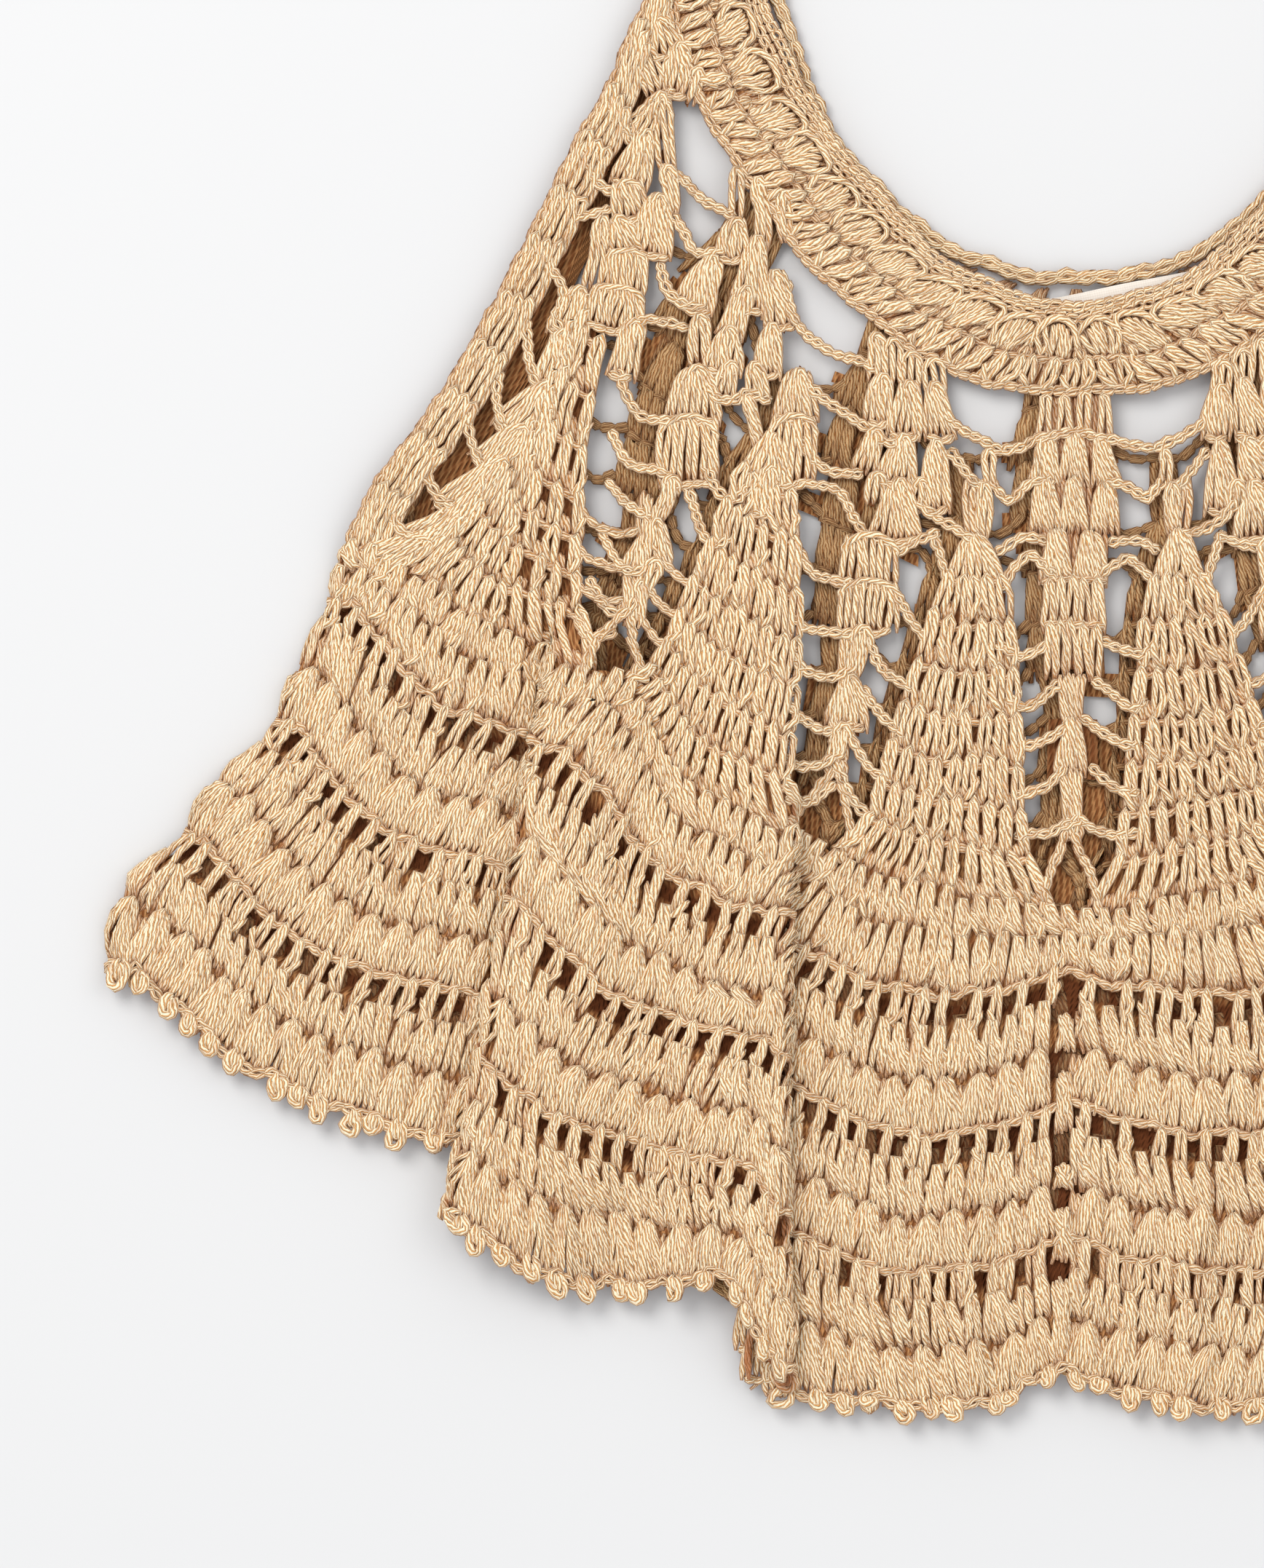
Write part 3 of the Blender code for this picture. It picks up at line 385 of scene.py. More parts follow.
# %% Clusters and chains of the front, in chart units: from x, y to x, y; mm wide at each end; strands
CLUSTERS = (
    # the column below the first junction from the centre
    (1205, 462, 1204, 522, 4, 4.5, 3), (1228, 468, 1226, 528, 4, 5, 3), (1254, 482, 1252, 534, 4, 5, 3),
    (1280, 497, 1286, 545, 4, 5, 3), (1212, 515, 1206, 580, 3, 8, 5), (1250, 522, 1240, 602, 3, 9.5, 6),
    (1284, 530, 1290, 602, 3.5, 9, 6),
    (1204, 588, 1188, 645, 3, 6, 4), (1245, 600, 1228, 664, 3, 11, 7), (1285, 608, 1284, 702, 3, 8.5, 6),
    (1237, 660, 1228, 742, 3, 15, 9), (1208, 650, 1200, 690, 3, 5, 3), (1262, 660, 1262, 700, 3, 4, 3),
    (1196, 736, 1193, 803, 13, 15.5, 8), (1195, 798, 1190, 868, 14, 16, 9),
    (1186, 862, 1170, 932, 4.5, 3.2, 4),
    (1170, 930, 1166, 1002, 3, 9.5, 7), (1160, 1000, 1138, 1056, 4.5, 3, 4),
    # the second column
    (1014, 232, 1010, 300, 2.2, 3, 2), (1042, 246, 1046, 342, 2.4, 3, 3), (1075, 268, 1078, 330, 2.4, 3, 3),
    (1012, 300, 1003, 356, 3, 9, 6), (980, 352, 952, 422, 3, 12, 8), (1040, 332, 1024, 428, 3, 10, 7),
    (1066, 374, 1072, 450, 3, 9.5, 6), (1024, 398, 1000, 464, 3, 8, 5), (1000, 452, 992, 512, 3, 11, 7),
    (1060, 446, 1054, 516, 3, 8.5, 6), (960, 432, 962, 500, 3, 6, 4), (955, 506, 950, 578, 5, 16, 9),
    (1005, 500, 990, 545, 3, 6, 4), (1035, 500, 1042, 550, 3, 6, 4),
    (946, 574, 944, 664, 14, 16.5, 9), (926, 655, 906, 708, 4, 3.4, 4), (904, 714, 896, 776, 3, 9.5, 7),
    (900, 770, 878, 820, 4, 3, 3), (882, 800, 868, 860, 3, 4, 4),
    # the column beside the armhole, and where it opens into the fan
    (907, 136, 916, 236, 3.2, 4.2, 3), (917, 230, 922, 296, 3.2, 3.2, 3), (906, 22, 912, 78, 4, 9, 5),
    (935, 62, 925, 132, 4, 9, 6), (958, 98, 944, 140, 3, 4, 3), (886, 60, 902, 128, 4, 6, 4),
    (908, 132, 876, 196, 3.4, 4, 3),
    (890, 182, 862, 256, 3, 11, 7),
    (862, 250, 866, 300, 6, 10, 6), (850, 300, 856, 345, 3, 10, 6), (905, 270, 888, 350, 3.5, 14, 9),
    (864, 345, 852, 402, 9, 13, 8), (852, 396, 838, 452, 12, 18, 10),
    (829, 300, 812, 398, 2.4, 3.6, 3), (872, 445, 850, 520, 4, 8, 5),
    (800, 396, 772, 460, 4, 9, 6), (778, 455, 752, 535, 4, 9, 6), (757, 530, 690, 594, 5, 9, 6),
    (722, 588, 660, 640, 4, 9, 6),
    (694, 636, 610, 702, 4, 10, 6), (650, 700, 556, 752, 5, 10, 7), (590, 745, 500, 772, 5, 9, 6),
    # two legs under each arch, where a fan starts
    (1360, 620, 1362, 668, 2, 2.4, 2), (1352, 665, 1352, 735, 2.4, 3, 3),
    (1028, 545, 1042, 612, 2.4, 2.6, 3),
    (1100, 508, 1092, 575, 3, 13, 8), (1092, 570, 1085, 665, 10, 13, 7), (1060, 640, 1045, 705, 3, 8, 5),
    # the hem that is folded under beside the middle
    (1030, 1796, 1034, 1852, 5, 9, 5), (1046, 1838, 1044, 1892, 5, 10, 6),
    (1066, 1868, 1074, 1912, 5, 9, 5),
)
CHAINS = (
    ((1290, 560), (1320, 590), (1350, 605), (1375, 618), (1400, 612), (1440, 600), (1480, 597)),
    ((1305, 622), (1330, 655), (1348, 668)), ((1365, 662), (1385, 685), (1410, 668), (1440, 662)),
    ((1262, 690), (1280, 710), (1310, 727), (1348, 745)), ((1375, 757), (1400, 742), (1430, 745)),
    ((1375, 805), (1398, 778), (1418, 766), (1452, 795)), ((1370, 885), (1402, 902), (1445, 880)),
    ((1388, 962), (1412, 972), (1455, 938)), ((1398, 1022), (1430, 1018), (1470, 990)),
    ((1398, 1088), (1430, 1082), (1460, 1058)), ((1400, 1145), (1440, 1145), (1478, 1128)),
    ((1208, 600), (1230, 610), (1254, 600)), ((1235, 757), (1262, 742), (1284, 736)),
    ((1282, 735), (1294, 770), (1302, 805)),
    ((1226, 812), (1246, 850), (1268, 872)), ((1190, 880), (1215, 928), (1248, 940)),
    ((1188, 952), (1210, 985), (1240, 1004)),
    ((1165, 1008), (1190, 1050), (1220, 1074)), ((1148, 1058), (1168, 1095), (1195, 1124)),
    ((1082, 392), (1088, 425), (1108, 458), (1150, 487), (1210, 510)),
    ((1098, 515), (1130, 548), (1165, 575), (1200, 590)),
    ((1095, 590), (1112, 630), (1145, 650), (1180, 648)),
    ((1080, 672), (1115, 668), (1152, 674), (1172, 705), (1192, 738)),
    ((1098, 762), (1120, 790), (1168, 800)), ((1078, 835), (1105, 862), (1150, 868), (1182, 866)),
    ((1078, 888), (1102, 918), (1140, 928), (1172, 915)),
    ((1076, 960), (1105, 988), (1140, 1002), (1168, 1000)),
    ((1078, 1038), (1110, 1052), (1152, 1038)), ((1086, 1095), (1112, 1102), (1142, 1082)),
    ((962, 525), (985, 548), (1008, 550), (1030, 540), (1052, 548)),
    ((968, 638), (982, 672), (1002, 688), (1030, 668), (1062, 640)),
    ((944, 668), (952, 700), (966, 740), (985, 748), (1004, 735)),
    ((930, 240), (962, 270), (1004, 292)), ((925, 300), (940, 322), (958, 345), (990, 340)),
    ((905, 366), (916, 398), (940, 415), (966, 416)), ((862, 446), (900, 441), (942, 445)),
    ((848, 515), (866, 552), (898, 576), (930, 578)), ((840, 600), (862, 632), (905, 648), (922, 655)),
    ((838, 665), (862, 690), (892, 712)), ((830, 735), (848, 768), (872, 785), (890, 778)),
    ((812, 800), (832, 832), (858, 840), (874, 815)),
    ((922, 132), (895, 142), (872, 162), (866, 190)), ((790, 297), (812, 292), (834, 290)),
    ((752, 362), (774, 395), (766, 438), (778, 458)), ((722, 442), (728, 495), (742, 532), (758, 534)),
    ((682, 515), (684, 560), (692, 592)), ((640, 560), (645, 600), (662, 638)),
    ((588, 655), (602, 682), (618, 694)),
    ((543, 712), (556, 732), (578, 742)), ((808, 205), (815, 240), (838, 262)),
    ((838, 130), (846, 160), (868, 180)),
)
print(len(CLUSTERS), "clusters and", len(CHAINS), "chains on each half")

# %% [markdown]
# ## Where the front covers the back
# Little light reaches the back through the small holes of the front, and what does has bounced between
# warm strands, so it is a deep brown there. A coarse grid of how much closed front lies over each place
# gives that shade to the upper side of the back.

# %% Cover
ROUNDS = (("dense", 12.0, 12.72), ("dense", 12.72, 13.65), ("mesh", 13.65, 14.6), ("puffs", 14.6, 15.95),
          ("shells", 15.95, 17.5), ("mesh", 17.5, 18.6), ("puffs", 18.6, 20.0), ("shells", 20.0, 21.4),
          ("mesh", 21.4, 22.4), ("puffs", 22.4, 23.4), ("shells", 23.4, 24.55))
MESH = [(top, low) for kind, top, low in ROUNDS if kind == "mesh"]
SEAM = ((14.2, 15.1), (15.9, 16.8), (18.4, 19.6), (20.0, 20.8), (22.0, 22.7))  # the centre front's holes
SKIRT, HEM = 12.0, 24.3  # levels where the skirt starts and the lining ends
NARROW = ((0, 4, 5, 8, 11, 12), (0.16, 0.16, 0.15, 0.11, 0.08, 0.08))  # half width of a pineapple, in columns
FAN = ((3.7, 5, 6, 8, 10, 11, 12.1), (0.03, 0.13, 0.19, 0.26, 0.31, 0.34, 0.46))  # half width of a fan


def within(level, spans, margin):
    """Which levels lie inside one of the spans, by more than the margin."""
    return np.any([(level > top + margin) & (level < low - margin) for top, low in spans], axis=0)


def under_clusters(spot):
    """Which places of the front lie under a cluster that is placed by itself."""
    here = np.stack([-np.abs(spot[..., 0]), spot[..., 1]], -1)
    found = np.zeros(here.shape[:-1], bool)
    for x0, y0, x1, y1, wide0, wide1, _ in CLUSTERS:
        start, end = chart_mm(x0, y0), chart_mm(x1, y1)
        run = end - start
        t = (here - start) @ run / (run @ run)
        off = np.linalg.norm(here - start - t[..., None] * run, axis=-1)
        found |= (off < (wide0 + (wide1 - wide0) * t) / 2 - 1.4) & (np.abs(t - 0.5) <= 0.5)
    return found


def in_yoke(level, column, spot, to_edge, folded):
    """Which cells of the yoke are worked closed. spot is in mm; to_edge is mm from the armhole."""
    k = np.round(column)
    away, beside_fan = np.abs(column - k), np.abs(np.mod(column, 1.0) - 0.5)
    block = (away < np.interp(level, *NARROW) - 0.015) & (k < 2.5)
    block &= (level < 7.1) | ((level > 8.1) & (level < 9.2))
    if folded:
        block = block & (k == 0) | under_clusters(spot)
    else:  # the back is fuller behind the clusters, under the junctions and right of the centre
        wave = np.sin(level * 3.7 + k * 2.1)
        high = (away < 0.2 + 0.06 * wave) & (level > 1.6) & (level < 4.9)
        block |= (k < 2.5) & (high | ((away < 0.14) & (level > 10.3)))
        right = (spot[..., 0] > 0) & (column < 0.22 + 0.03 * wave)
        block |= right & (level > 5.8) & (np.abs(level - 7.9) > 0.4)
    grown = (beside_fan < np.interp(level, *FAN) - 0.02) & (level > 4.3) & (column < 3)
    return block | grown | (to_edge < (11.5 if folded else 24.0))


def closed_cells(cloth):
    """Which cells of a body's grid have a lining."""
    folded = bool(cloth.ridges)
    levels = cloth.first + cloth.step * (np.arange(len(cloth.limits) - 1) + 0.5)
    limits = (cloth.limits[:-1] + cloth.limits[1:]) / 2
    s = np.arange(2 * cloth.half) + 0.5 - cloth.half
    column = np.array([np.interp(np.abs(s), cloth.counts, row) for row in limits])
    level = np.repeat(levels[:, None], column.shape[1], 1)
    spot = (cloth.points[:-1, :-1] + cloth.points[1:, 1:]) / 2
    run = run_along(spot)
    to_edge = np.minimum(run, run[:, -1:] - run)
    keep = np.where(level < SKIRT, in_yoke(level, column, spot, to_edge, folded), True) & (level < HEM)
    if not folded:
        return keep & ~within(level, MESH, 0.1)
    for start in (cloth.counts[1] + 3, cloth.counts[3] + 10):  # the cloth inside a fold ends above the hem
        keep &= ~((np.abs(s) > start) & (np.abs(s) < start + 11) & (level > 23.0))
    return keep


SQUARE, SOFT, REACH = 3.0, 5.5, 303.0  # mm: a square of the cover grid, its smoothing, half its width


def cover_map():
    """How closed the front is over each square of the grid, smoothed over about 10 mm."""
    p = front.points
    centre = (p[:-1, :-1] + p[1:, 1:]) / 2
    size = np.abs(np.cross(p[1:, :-1] - p[:-1, :-1], p[:-1, 1:] - p[:-1, :-1])[..., 2])
    keep = np.ones(size.shape, bool)
    levels = (np.arange(size.shape[0]) + 0.5) * front.step
    keep[levels < SKIRT] = closed_cells(front)[levels < SKIRT]
    keep[levels > 24.8] = False
    edges = np.arange(-REACH, REACH + 1, SQUARE)
    grid = np.histogram2d(*centre[keep][:, :2].T, bins=(edges, edges), weights=size[keep])[0] / SQUARE**2
    grid = np.minimum(grid, 1.0)
    soft = np.exp(-((np.arange(-4, 5) * SQUARE) ** 2) / (2 * SOFT**2))
    soft /= soft.sum()
    for axis in (0, 1):
        grid = np.apply_along_axis(lambda line: np.convolve(line, soft, "same"), axis, grid)
    return edges, grid


EDGES, COVER = cover_map()


def covered(points):
    """0.5 where the place is open to the light, up to 0.95 deep under closed cloth."""
    i, j = (np.clip(((points[..., a] - EDGES[0]) / SQUARE).astype(int), 0, len(COVER) - 1) for a in (0, 1))
    share = np.clip((COVER[i, j] - 0.1) / 0.75, 0, 1)
    return 0.5 + 0.45 * share * share * (3 - 2 * share)


print("covered share of the grid:", round(float((COVER > 0.5).mean()), 3))

# %% [markdown]
# ## Yarn
# Each strand is a smooth bent tube with a round section, a little thinner at its ends, which tuck into
# the stitches round it. Making ten thousand separate curves would be slow and heavy, so a strand is a few
# control points, and numpy turns all strands of a kind into one mesh at once. The mesh keeps, for the
# finish, how far round and along each point of the yarn is, how deep it lies, a tone of its own, and a
# painted shade, which only the back's yarn gets.


# %% Strands to a mesh
FLAT = 0.9  # how much thinner a strand is from above than from its side


def loosened(points):
    """Each place moved a little by a few smooth waves, so that no row is ruler straight."""
    moved, rng = points.copy(), np.random.default_rng(3)
    for length, size in ((6.5, 0.13), (8, 0.17), (11, 0.22), (14, 0.26), (21, 0.32), (33, 0.45)):  # mm
        way, turn, push = rng.uniform(0, 2 * np.pi, 3)
        phase = (points[..., 0] * np.cos(way) + points[..., 1] * np.sin(way)) * 2 * np.pi / length + turn
        moved[..., 0] += size * np.cos(push) * np.sin(phase)
        moved[..., 1] += size * np.sin(push) * np.sin(phase)
    return moved


def weights(count, rings):
    """How much each control point counts at each ring of a smooth strand."""
    table = np.zeros((rings, count))
    for m, t in enumerate(np.linspace(0, count - 1, rings)):
        i = min(int(t), count - 2)
        f = t - i
        share = (-0.5 * f + f * f - 0.5 * f**3, 1 - 2.5 * f * f + 1.5 * f**3,
                 0.5 * f + 2 * f * f - 1.5 * f**3, -0.5 * f * f + 0.5 * f**3)
        for k, s in zip(range(i - 1, i + 3), share):
            if 0 <= k < count:
                table[m, k] += s
            else:  # past an end, the line of the last two points goes on
                last, before = (0, 1) if k < 0 else (-1, -2)
                table[m, last] += 2 * s
                table[m, before] -= s
    return table


def from_ends(count, share):
    """For count places along a line: 0 at its ends, 1 from the given share of its length on."""
    t = np.linspace(0, 1, count)
    return np.clip(np.minimum(t, 1 - t) / share, 0, 1)


def new_object(name, mesh, paint):
    made = bpy.data.objects.new(name, mesh)
    bpy.context.scene.collection.objects.link(made)
    mesh.materials.append(paint)
    return made


def mark(mesh, name, values):
    """Keeps a number for each point of a mesh, for its material to read."""
    mesh.attributes.new(name, "FLOAT", "POINT").data.foreach_set("value", values.astype(np.float32))


class Yarn:
    """Collects strands worked on one cloth, then makes them one object. The back's yarn isn't fine: it has
    fewer, thicker strands."""

    def __init__(self, name, cloth, seed, fine=True, shaded=False):
        self.name, self.cloth, self.fine, self.shaded = name, cloth, fine, shaded
        self.rng, self.sides, self.radius, self.parts = np.random.default_rng(seed), 5 if fine else 4, 1.1, []

    def sweep(self, points, up, radius, depth):
        """points, up: strands x rings x 3, in mm. depth: mm over the cloth."""
        n, m, _ = points.shape
        points = loosened(points)
        along = unit(np.gradient(points, axis=1))
        side = unit(np.cross(along, up))
        rise = np.cross(side, along)
        r = radius * (0.45 + 0.55 * from_ends(m, 0.12))
        r = r * self.rng.uniform(0.9, 1.1, (n, 1)) * self.rng.uniform(0.9, 1.1, (n, m))
        turn = np.arange(self.sides) / self.sides * 2 * np.pi + np.pi
        ring = (points[:, :, None] + (r[..., None] * np.cos(turn))[..., None] * rise[:, :, None] * FLAT
                + (r[..., None] * np.sin(turn))[..., None] * side[:, :, None])
        length = run_along(points) + self.rng.uniform(0, 50, (n, 1))
        depth = np.broadcast_to(depth, (n, m))[..., None] + (r[..., None] * np.cos(turn))
        tone = np.broadcast_to(self.rng.uniform(0, 1, (n, 1, 1)), depth.shape)
        # Painted shade: on a shaded yarn, the upper side of each strand, which faces the front, is darker
        # where closed front lies over it.
        facing = np.broadcast_to(np.clip(0.55 + 0.8 * np.cos(turn), 0, 1), depth.shape)
        dark = covered(ring) * facing if self.shaded else np.zeros(depth.shape)
        self.parts.append((ring.reshape(-1, 3), depth.ravel(), tone.ravel(), dark.ravel(), length, n, m))

    def lay(self, level, column, height, radius, rings):
        """Strands through control points given as level, column and height over the cloth."""
        level, column, height = (np.asarray(v, float) for v in np.broadcast_arrays(level, column, height))
        if len(level) == 0:
            return
        table = weights(level.shape[1], rings).T
        points, up = self.cloth.at(level @ table, column @ table, height @ table)
        self.sweep(points, up, radius or self.radius, height @ table)

    def build(self, paint):
        spots = np.concatenate([p[0] for p in self.parts]) / 1000
        spots[:, 2] = np.maximum(spots[:, 2], 0.0001)  # nothing goes through the floor
        quads, turns, s, base = [], [], self.sides, 0
        for *_, length, n, m in self.parts:
            strand, ring, k = np.meshgrid(np.arange(n), np.arange(m - 1), np.arange(s), indexing="ij")
            first = base + (strand * m + ring) * s
            a, b = first + k, first + (k + 1) % s
            quads.append(np.stack([a, a + s, b + s, b], -1).reshape(-1, 4))
            near, far, u0, u1 = length[strand, ring], length[strand, ring + 1], k / s, (k + 1) / s
            turns.append(np.stack([u0, near, u0, far, u1, far, u1, near], -1).reshape(-1, 8))
            base += n * m * s
        quads, turns = np.concatenate(quads), np.concatenate(turns)
        mesh = bpy.data.meshes.new(self.name)
        mesh.vertices.add(len(spots))
        mesh.vertices.foreach_set("co", spots.astype(np.float32).ravel())
        mesh.loops.add(quads.size)
        mesh.loops.foreach_set("vertex_index", quads.astype(np.int32).ravel())
        mesh.polygons.add(len(quads))
        mesh.polygons.foreach_set("loop_start", (np.arange(len(quads)) * 4).astype(np.int32))
        mesh.polygons.foreach_set("use_smooth", np.ones(len(quads), bool))
        mesh.uv_layers.new(name="strand").data.foreach_set("uv", turns.astype(np.float32).ravel())
        for name, i in (("depth", 1), ("tone", 2), ("shade", 3)):
            mark(mesh, name, np.concatenate([p[i] for p in self.parts]))
        mesh.update(calc_edges=True)
        print(self.name, len(quads) * 2, "triangles")
        return new_object(self.name, mesh, paint)


# %% [markdown]
# ## Stitches
# Four makers give every stitch of the top. A bundle is a group of strands that spreads from one place to
# another, like a cluster or a shell. A post is a treble: one strand that goes up, round and down again,
# like a hairpin. A chain is a braid of links, each with two legs that lie over the next link. A knot is a
# small ball of curved strands, for picots. Places are given as (level, column), and sizes in mm.


# %% Bundles and posts
def pairs_of(top, low):
    """Levels and columns of the tops and the bottoms of N stitches."""
    return [a.ravel() for a in np.broadcast_arrays(*(np.asarray(x, float) for x in (*top, *low)))]


def strand(yarn, ends, share, across, height, radius=None, rings=6, wander=0.2):
    """One strand in each stitch. share: how far down each control point is; across: mm beside the line
    from top to bottom; height: mm over the cloth."""
    v0, u0, v1, u1 = (a[:, None] for a in ends)
    mm = yarn.cloth.per_column((ends[0] + ends[2]) / 2, (ends[1] + ends[3]) / 2)[:, None]
    shift = yarn.rng.normal(0, wander, (len(v0), len(share)))
    level = v0 + (v1 - v0) * (np.asarray(share) + yarn.rng.normal(0, 0.02, (len(v0), 1)))
    column = u0 + (u1 - u0) * share + (across + shift) / mm
    yarn.lay(level, column, height + yarn.rng.normal(0, 0.14, (len(v0), 1)), radius, rings)


def bundle(yarn, top, low, wide, count, bulge, base, rings=6, mid=None, domed=0.5, twist=0.0, steep=1.0,
           radius=None):
    """wide: mm across the strands at top and bottom, and mid between. bulge and base: how much the strands
    swell over their ends, and how high they lie. steep under 1 opens the bundle near its top."""
    ends = pairs_of(top, low)
    t = np.array([0, 0.2, 0.62, 1.0])
    spread = np.interp(t**steep, (0, 0.5, 1), (wide[0], mid or np.mean(wide), wide[1]))
    for f in [0.0] if count == 1 else np.linspace(-0.5, 0.5, count):
        swell = np.array([0.55, 1.0, 0.7, -0.8]) * (1 - domed * (2 * f) ** 2)
        strand(yarn, ends, t, f * spread + twist * np.sin(np.pi * t), base + bulge * swell, radius, rings)


def post(yarn, top, low, wide, base, rings, wrap=0.0, lift=1.1, radius=None):
    """A hairpin: wide gives the mm between its legs at top and bottom, and lift how high it swells. wrap is
    the share of the posts that get a short strand across the foot."""
    ends, radius = pairs_of(top, low), radius or yarn.radius
    t = np.array([1.05, 0.8, 0.42, 0.1, -0.03, 0.1, 0.42, 0.8, 1.05])
    widths = (wide[0] * 0.8, wide[0], wide[0] * 0.8 + wide[1] * 0.2, wide[1])
    half = np.interp(t, (0, 0.25, 0.65, 1), widths) / 2
    side = np.array([-1, -1, -1, -0.85, 0, 0.85, 1, 1, 1])
    rise = np.array([-0.9, 0.15, 0.9, 1.1, 0.8, 1.1, 0.9, 0.15, -0.9]) * lift
    strand(yarn, ends, t, half * side, base + rise, radius, rings)
    if wrap:
        some = yarn.rng.random(len(ends[0])) < wrap
        for first, turn in ((0, -1), (1, 1)):
            part = [a[some][first::2] for a in ends]
            across = (wide[1] / 2 + radius * 0.9) * turn * np.array([1, 0.75, 0.1, -0.5])
            over = base + lift * 0.6 + np.array([-0.7, 0.5, 0.6, -0.7])
            strand(yarn, part, np.array([0.42, 0.56, 0.78, 0.96]), across, over, radius * 0.95, 5)


# %% Chains and knots
def chain(yarn, level, column, thick, link, height, radius=0.95, rings=None):
    """Links along one line of the cloth, given by a few points. thick: mm across; link: mm long."""
    level, column = (np.array(v, float) for v in np.broadcast_arrays(level, column))
    height = np.broadcast_to(float(height), level.shape)
    if len(level) < 12:
        table = weights(len(level), max(24, len(level) * 6)).T
        level, column, height = level @ table, column @ table, height @ table
    points, up = yarn.cloth.at(level, column, height)
    link, usual = (link, 5) if yarn.fine else (link * 1.25, 4)
    braid(yarn, points, up, thick, link, radius, rings or usual, float(height.mean()))


def braid(yarn, points, up, thick, link, radius, rings, depth):
    run = run_along(points)
    count = max(int(round(run[-1] / link)), 1)
    step = run[-1] / count
    at = (np.arange(count) * step)[:, None] + step * np.array([-0.25, 0.12, 0.5, 0.9, 1.25])
    beside_line = np.array([-0.3, 0.5, 0.85, 0.5, -0.2]) * (thick / 2 - radius)
    over = np.array([-0.6, 0.3, 0.65, 0.35, -0.6]) * radius
    side = unit(np.cross(np.gradient(points, axis=0), up))
    spot, stand, across = (
        np.stack([np.interp(np.clip(at, 0, run[-1]), run, a[:, i]) for i in range(3)], -1)
        for a in (points, up, side))
    smooth = lambda a: np.einsum("mk,nkc->nmc", weights(5, rings), a)
    for sign in (-1, 1):
        wander = yarn.rng.normal(0, 0.12, (count, 1, 1))
        leg = spot + across * (sign * beside_line[:, None] + wander) + stand * (over[:, None] + sign * 0.15)
        yarn.sweep(smooth(leg), smooth(stand), radius, depth)


def knot(yarn, level, column, size, count, height, radius=None, rings=6):
    """Small balls: size is (mm to each side, levels up and down)."""
    level, column = (np.asarray(a, float).ravel() for a in np.broadcast_arrays(level, column))
    mm, t = yarn.cloth.per_column(level, column), np.linspace(-1, 1, 5)
    for f in np.linspace(-1, 1, count):
        lean = yarn.rng.uniform(-0.5, 0.5, (len(level), 1))
        aside = f * np.sqrt(np.maximum(1 - t**2, 0.03)) + lean * t * 0.6
        h = height * np.sqrt(np.maximum(1 - t**2, 0)) * (1 - 0.6 * f * f)
        yarn.lay(level[:, None] + t * size[1], column[:, None] + aside * size[0] / mm[:, None],
                 h + yarn.rng.normal(0, 0.1, (len(level), 1)), radius, rings)


# %% Free strands, placed on the chart
HIGH = front.points[:56].reshape(-1, 3)  # the front's map down to level 14
UP = np.array([0, 0, 1.0])


def on_front(x, y):
    """A chart place, as a point in mm on the front."""
    at = chart_mm(x, y)
    z = [HIGH[((HIGH[:, :2] - p) ** 2).sum(1).argmin(), 2] for p in at.reshape(-1, 2)]
    return np.concatenate([at, np.reshape(z, at.shape[:-1] + (1,))], -1)


def tuft(yarn, side, x0, y0, x1, y1, wide0, wide1, count):
    """A cluster of strands from one chart place to another, and a bow of yarn over its upper end. It lies on
    the left half or, for side -1, mirrored."""
    base, bulge, radius, rings = 0.5, 1.2, 1.12, 6
    ends = on_front([x0, x1], [y0, y1])
    t, f = np.array([-0.02, 0.2, 0.62, 1.06]), np.linspace(-0.5, 0.5, count)[:, None]
    run = ends[1] - ends[0]
    across = np.array([run[1], -run[0], 0]) / max(np.hypot(run[0], run[1]), 0.1)
    spread = f * np.interp(np.abs(t) ** 0.8, (0, 0.5, 1), (wide0, 0.4 * wide0 + 0.6 * wide1, wide1))
    spread = spread + yarn.rng.normal(0, 0.22, (count, 4))
    rise = base + bulge * np.array([0.3, 1.0, 0.8, -0.75]) * (1 - 0.45 * (2 * f) ** 2)
    rise = rise + yarn.rng.normal(0, 0.14, (count, 1))
    slide = yarn.rng.normal(0, 0.03, (count, 1)) + t
    strands = ends[0] + run * slide[..., None] + across * spread[..., None] + UP * rise[..., None]
    table = weights(4, rings)
    strands = np.einsum("mk,nkc->nmc", table, strands) * (side, 1, 1)
    yarn.sweep(strands, np.broadcast_to(UP, strands.shape), radius, rise @ table.T)
    t, f = np.array([0.42, 0.14, -0.04, 0.14, 0.42]), np.array([-1.15, -1, 0, 1, 1.15]) * (wide0 / 2 + 0.3)
    rise = base + bulge * np.array([-0.2, 0.9, 0.9, 0.9, -0.2])
    bow = ends[0] + run * t[:, None] + across * f[:, None] + UP * rise[:, None]
    table = weights(5, rings + 2)
    bow = (table @ bow)[None] * (side, 1, 1)
    yarn.sweep(bow, np.broadcast_to(UP, bow.shape), radius, rise[None] @ table.T)


def rope(yarn, side, places, thick=4.2, height=0.9, radius=1.0):
    """A chain through chart places. Its ends dive under the stitches they hang from."""
    places = np.array(places, float)
    for end, before in ((0, 1), (-1, -2)):
        way = places[end] - places[before]
        places[end] += way / np.hypot(*way) * 6.0
    spots = on_front(*places.T)
    spots = weights(len(spots), 8 * len(spots)) @ spots * (side, 1, 1)
    spots[:, 2] += height * (1.4 * from_ends(len(spots), 0.15) - 0.4)
    braid(yarn, spots, np.broadcast_to(UP, spots.shape), thick, 3.3, radius, 5, height)


print("makers ready")

# %% [markdown]
# ## Rows by equal steps
# A round has its stitches at equal steps along the yarn, not at equal steps of column, because a repeat is
# wider at the hem than at the neck. This helper walks along a round in mm, folds included, and gives the
# columns where its stitches sit. It leaves out those that a fold hides.


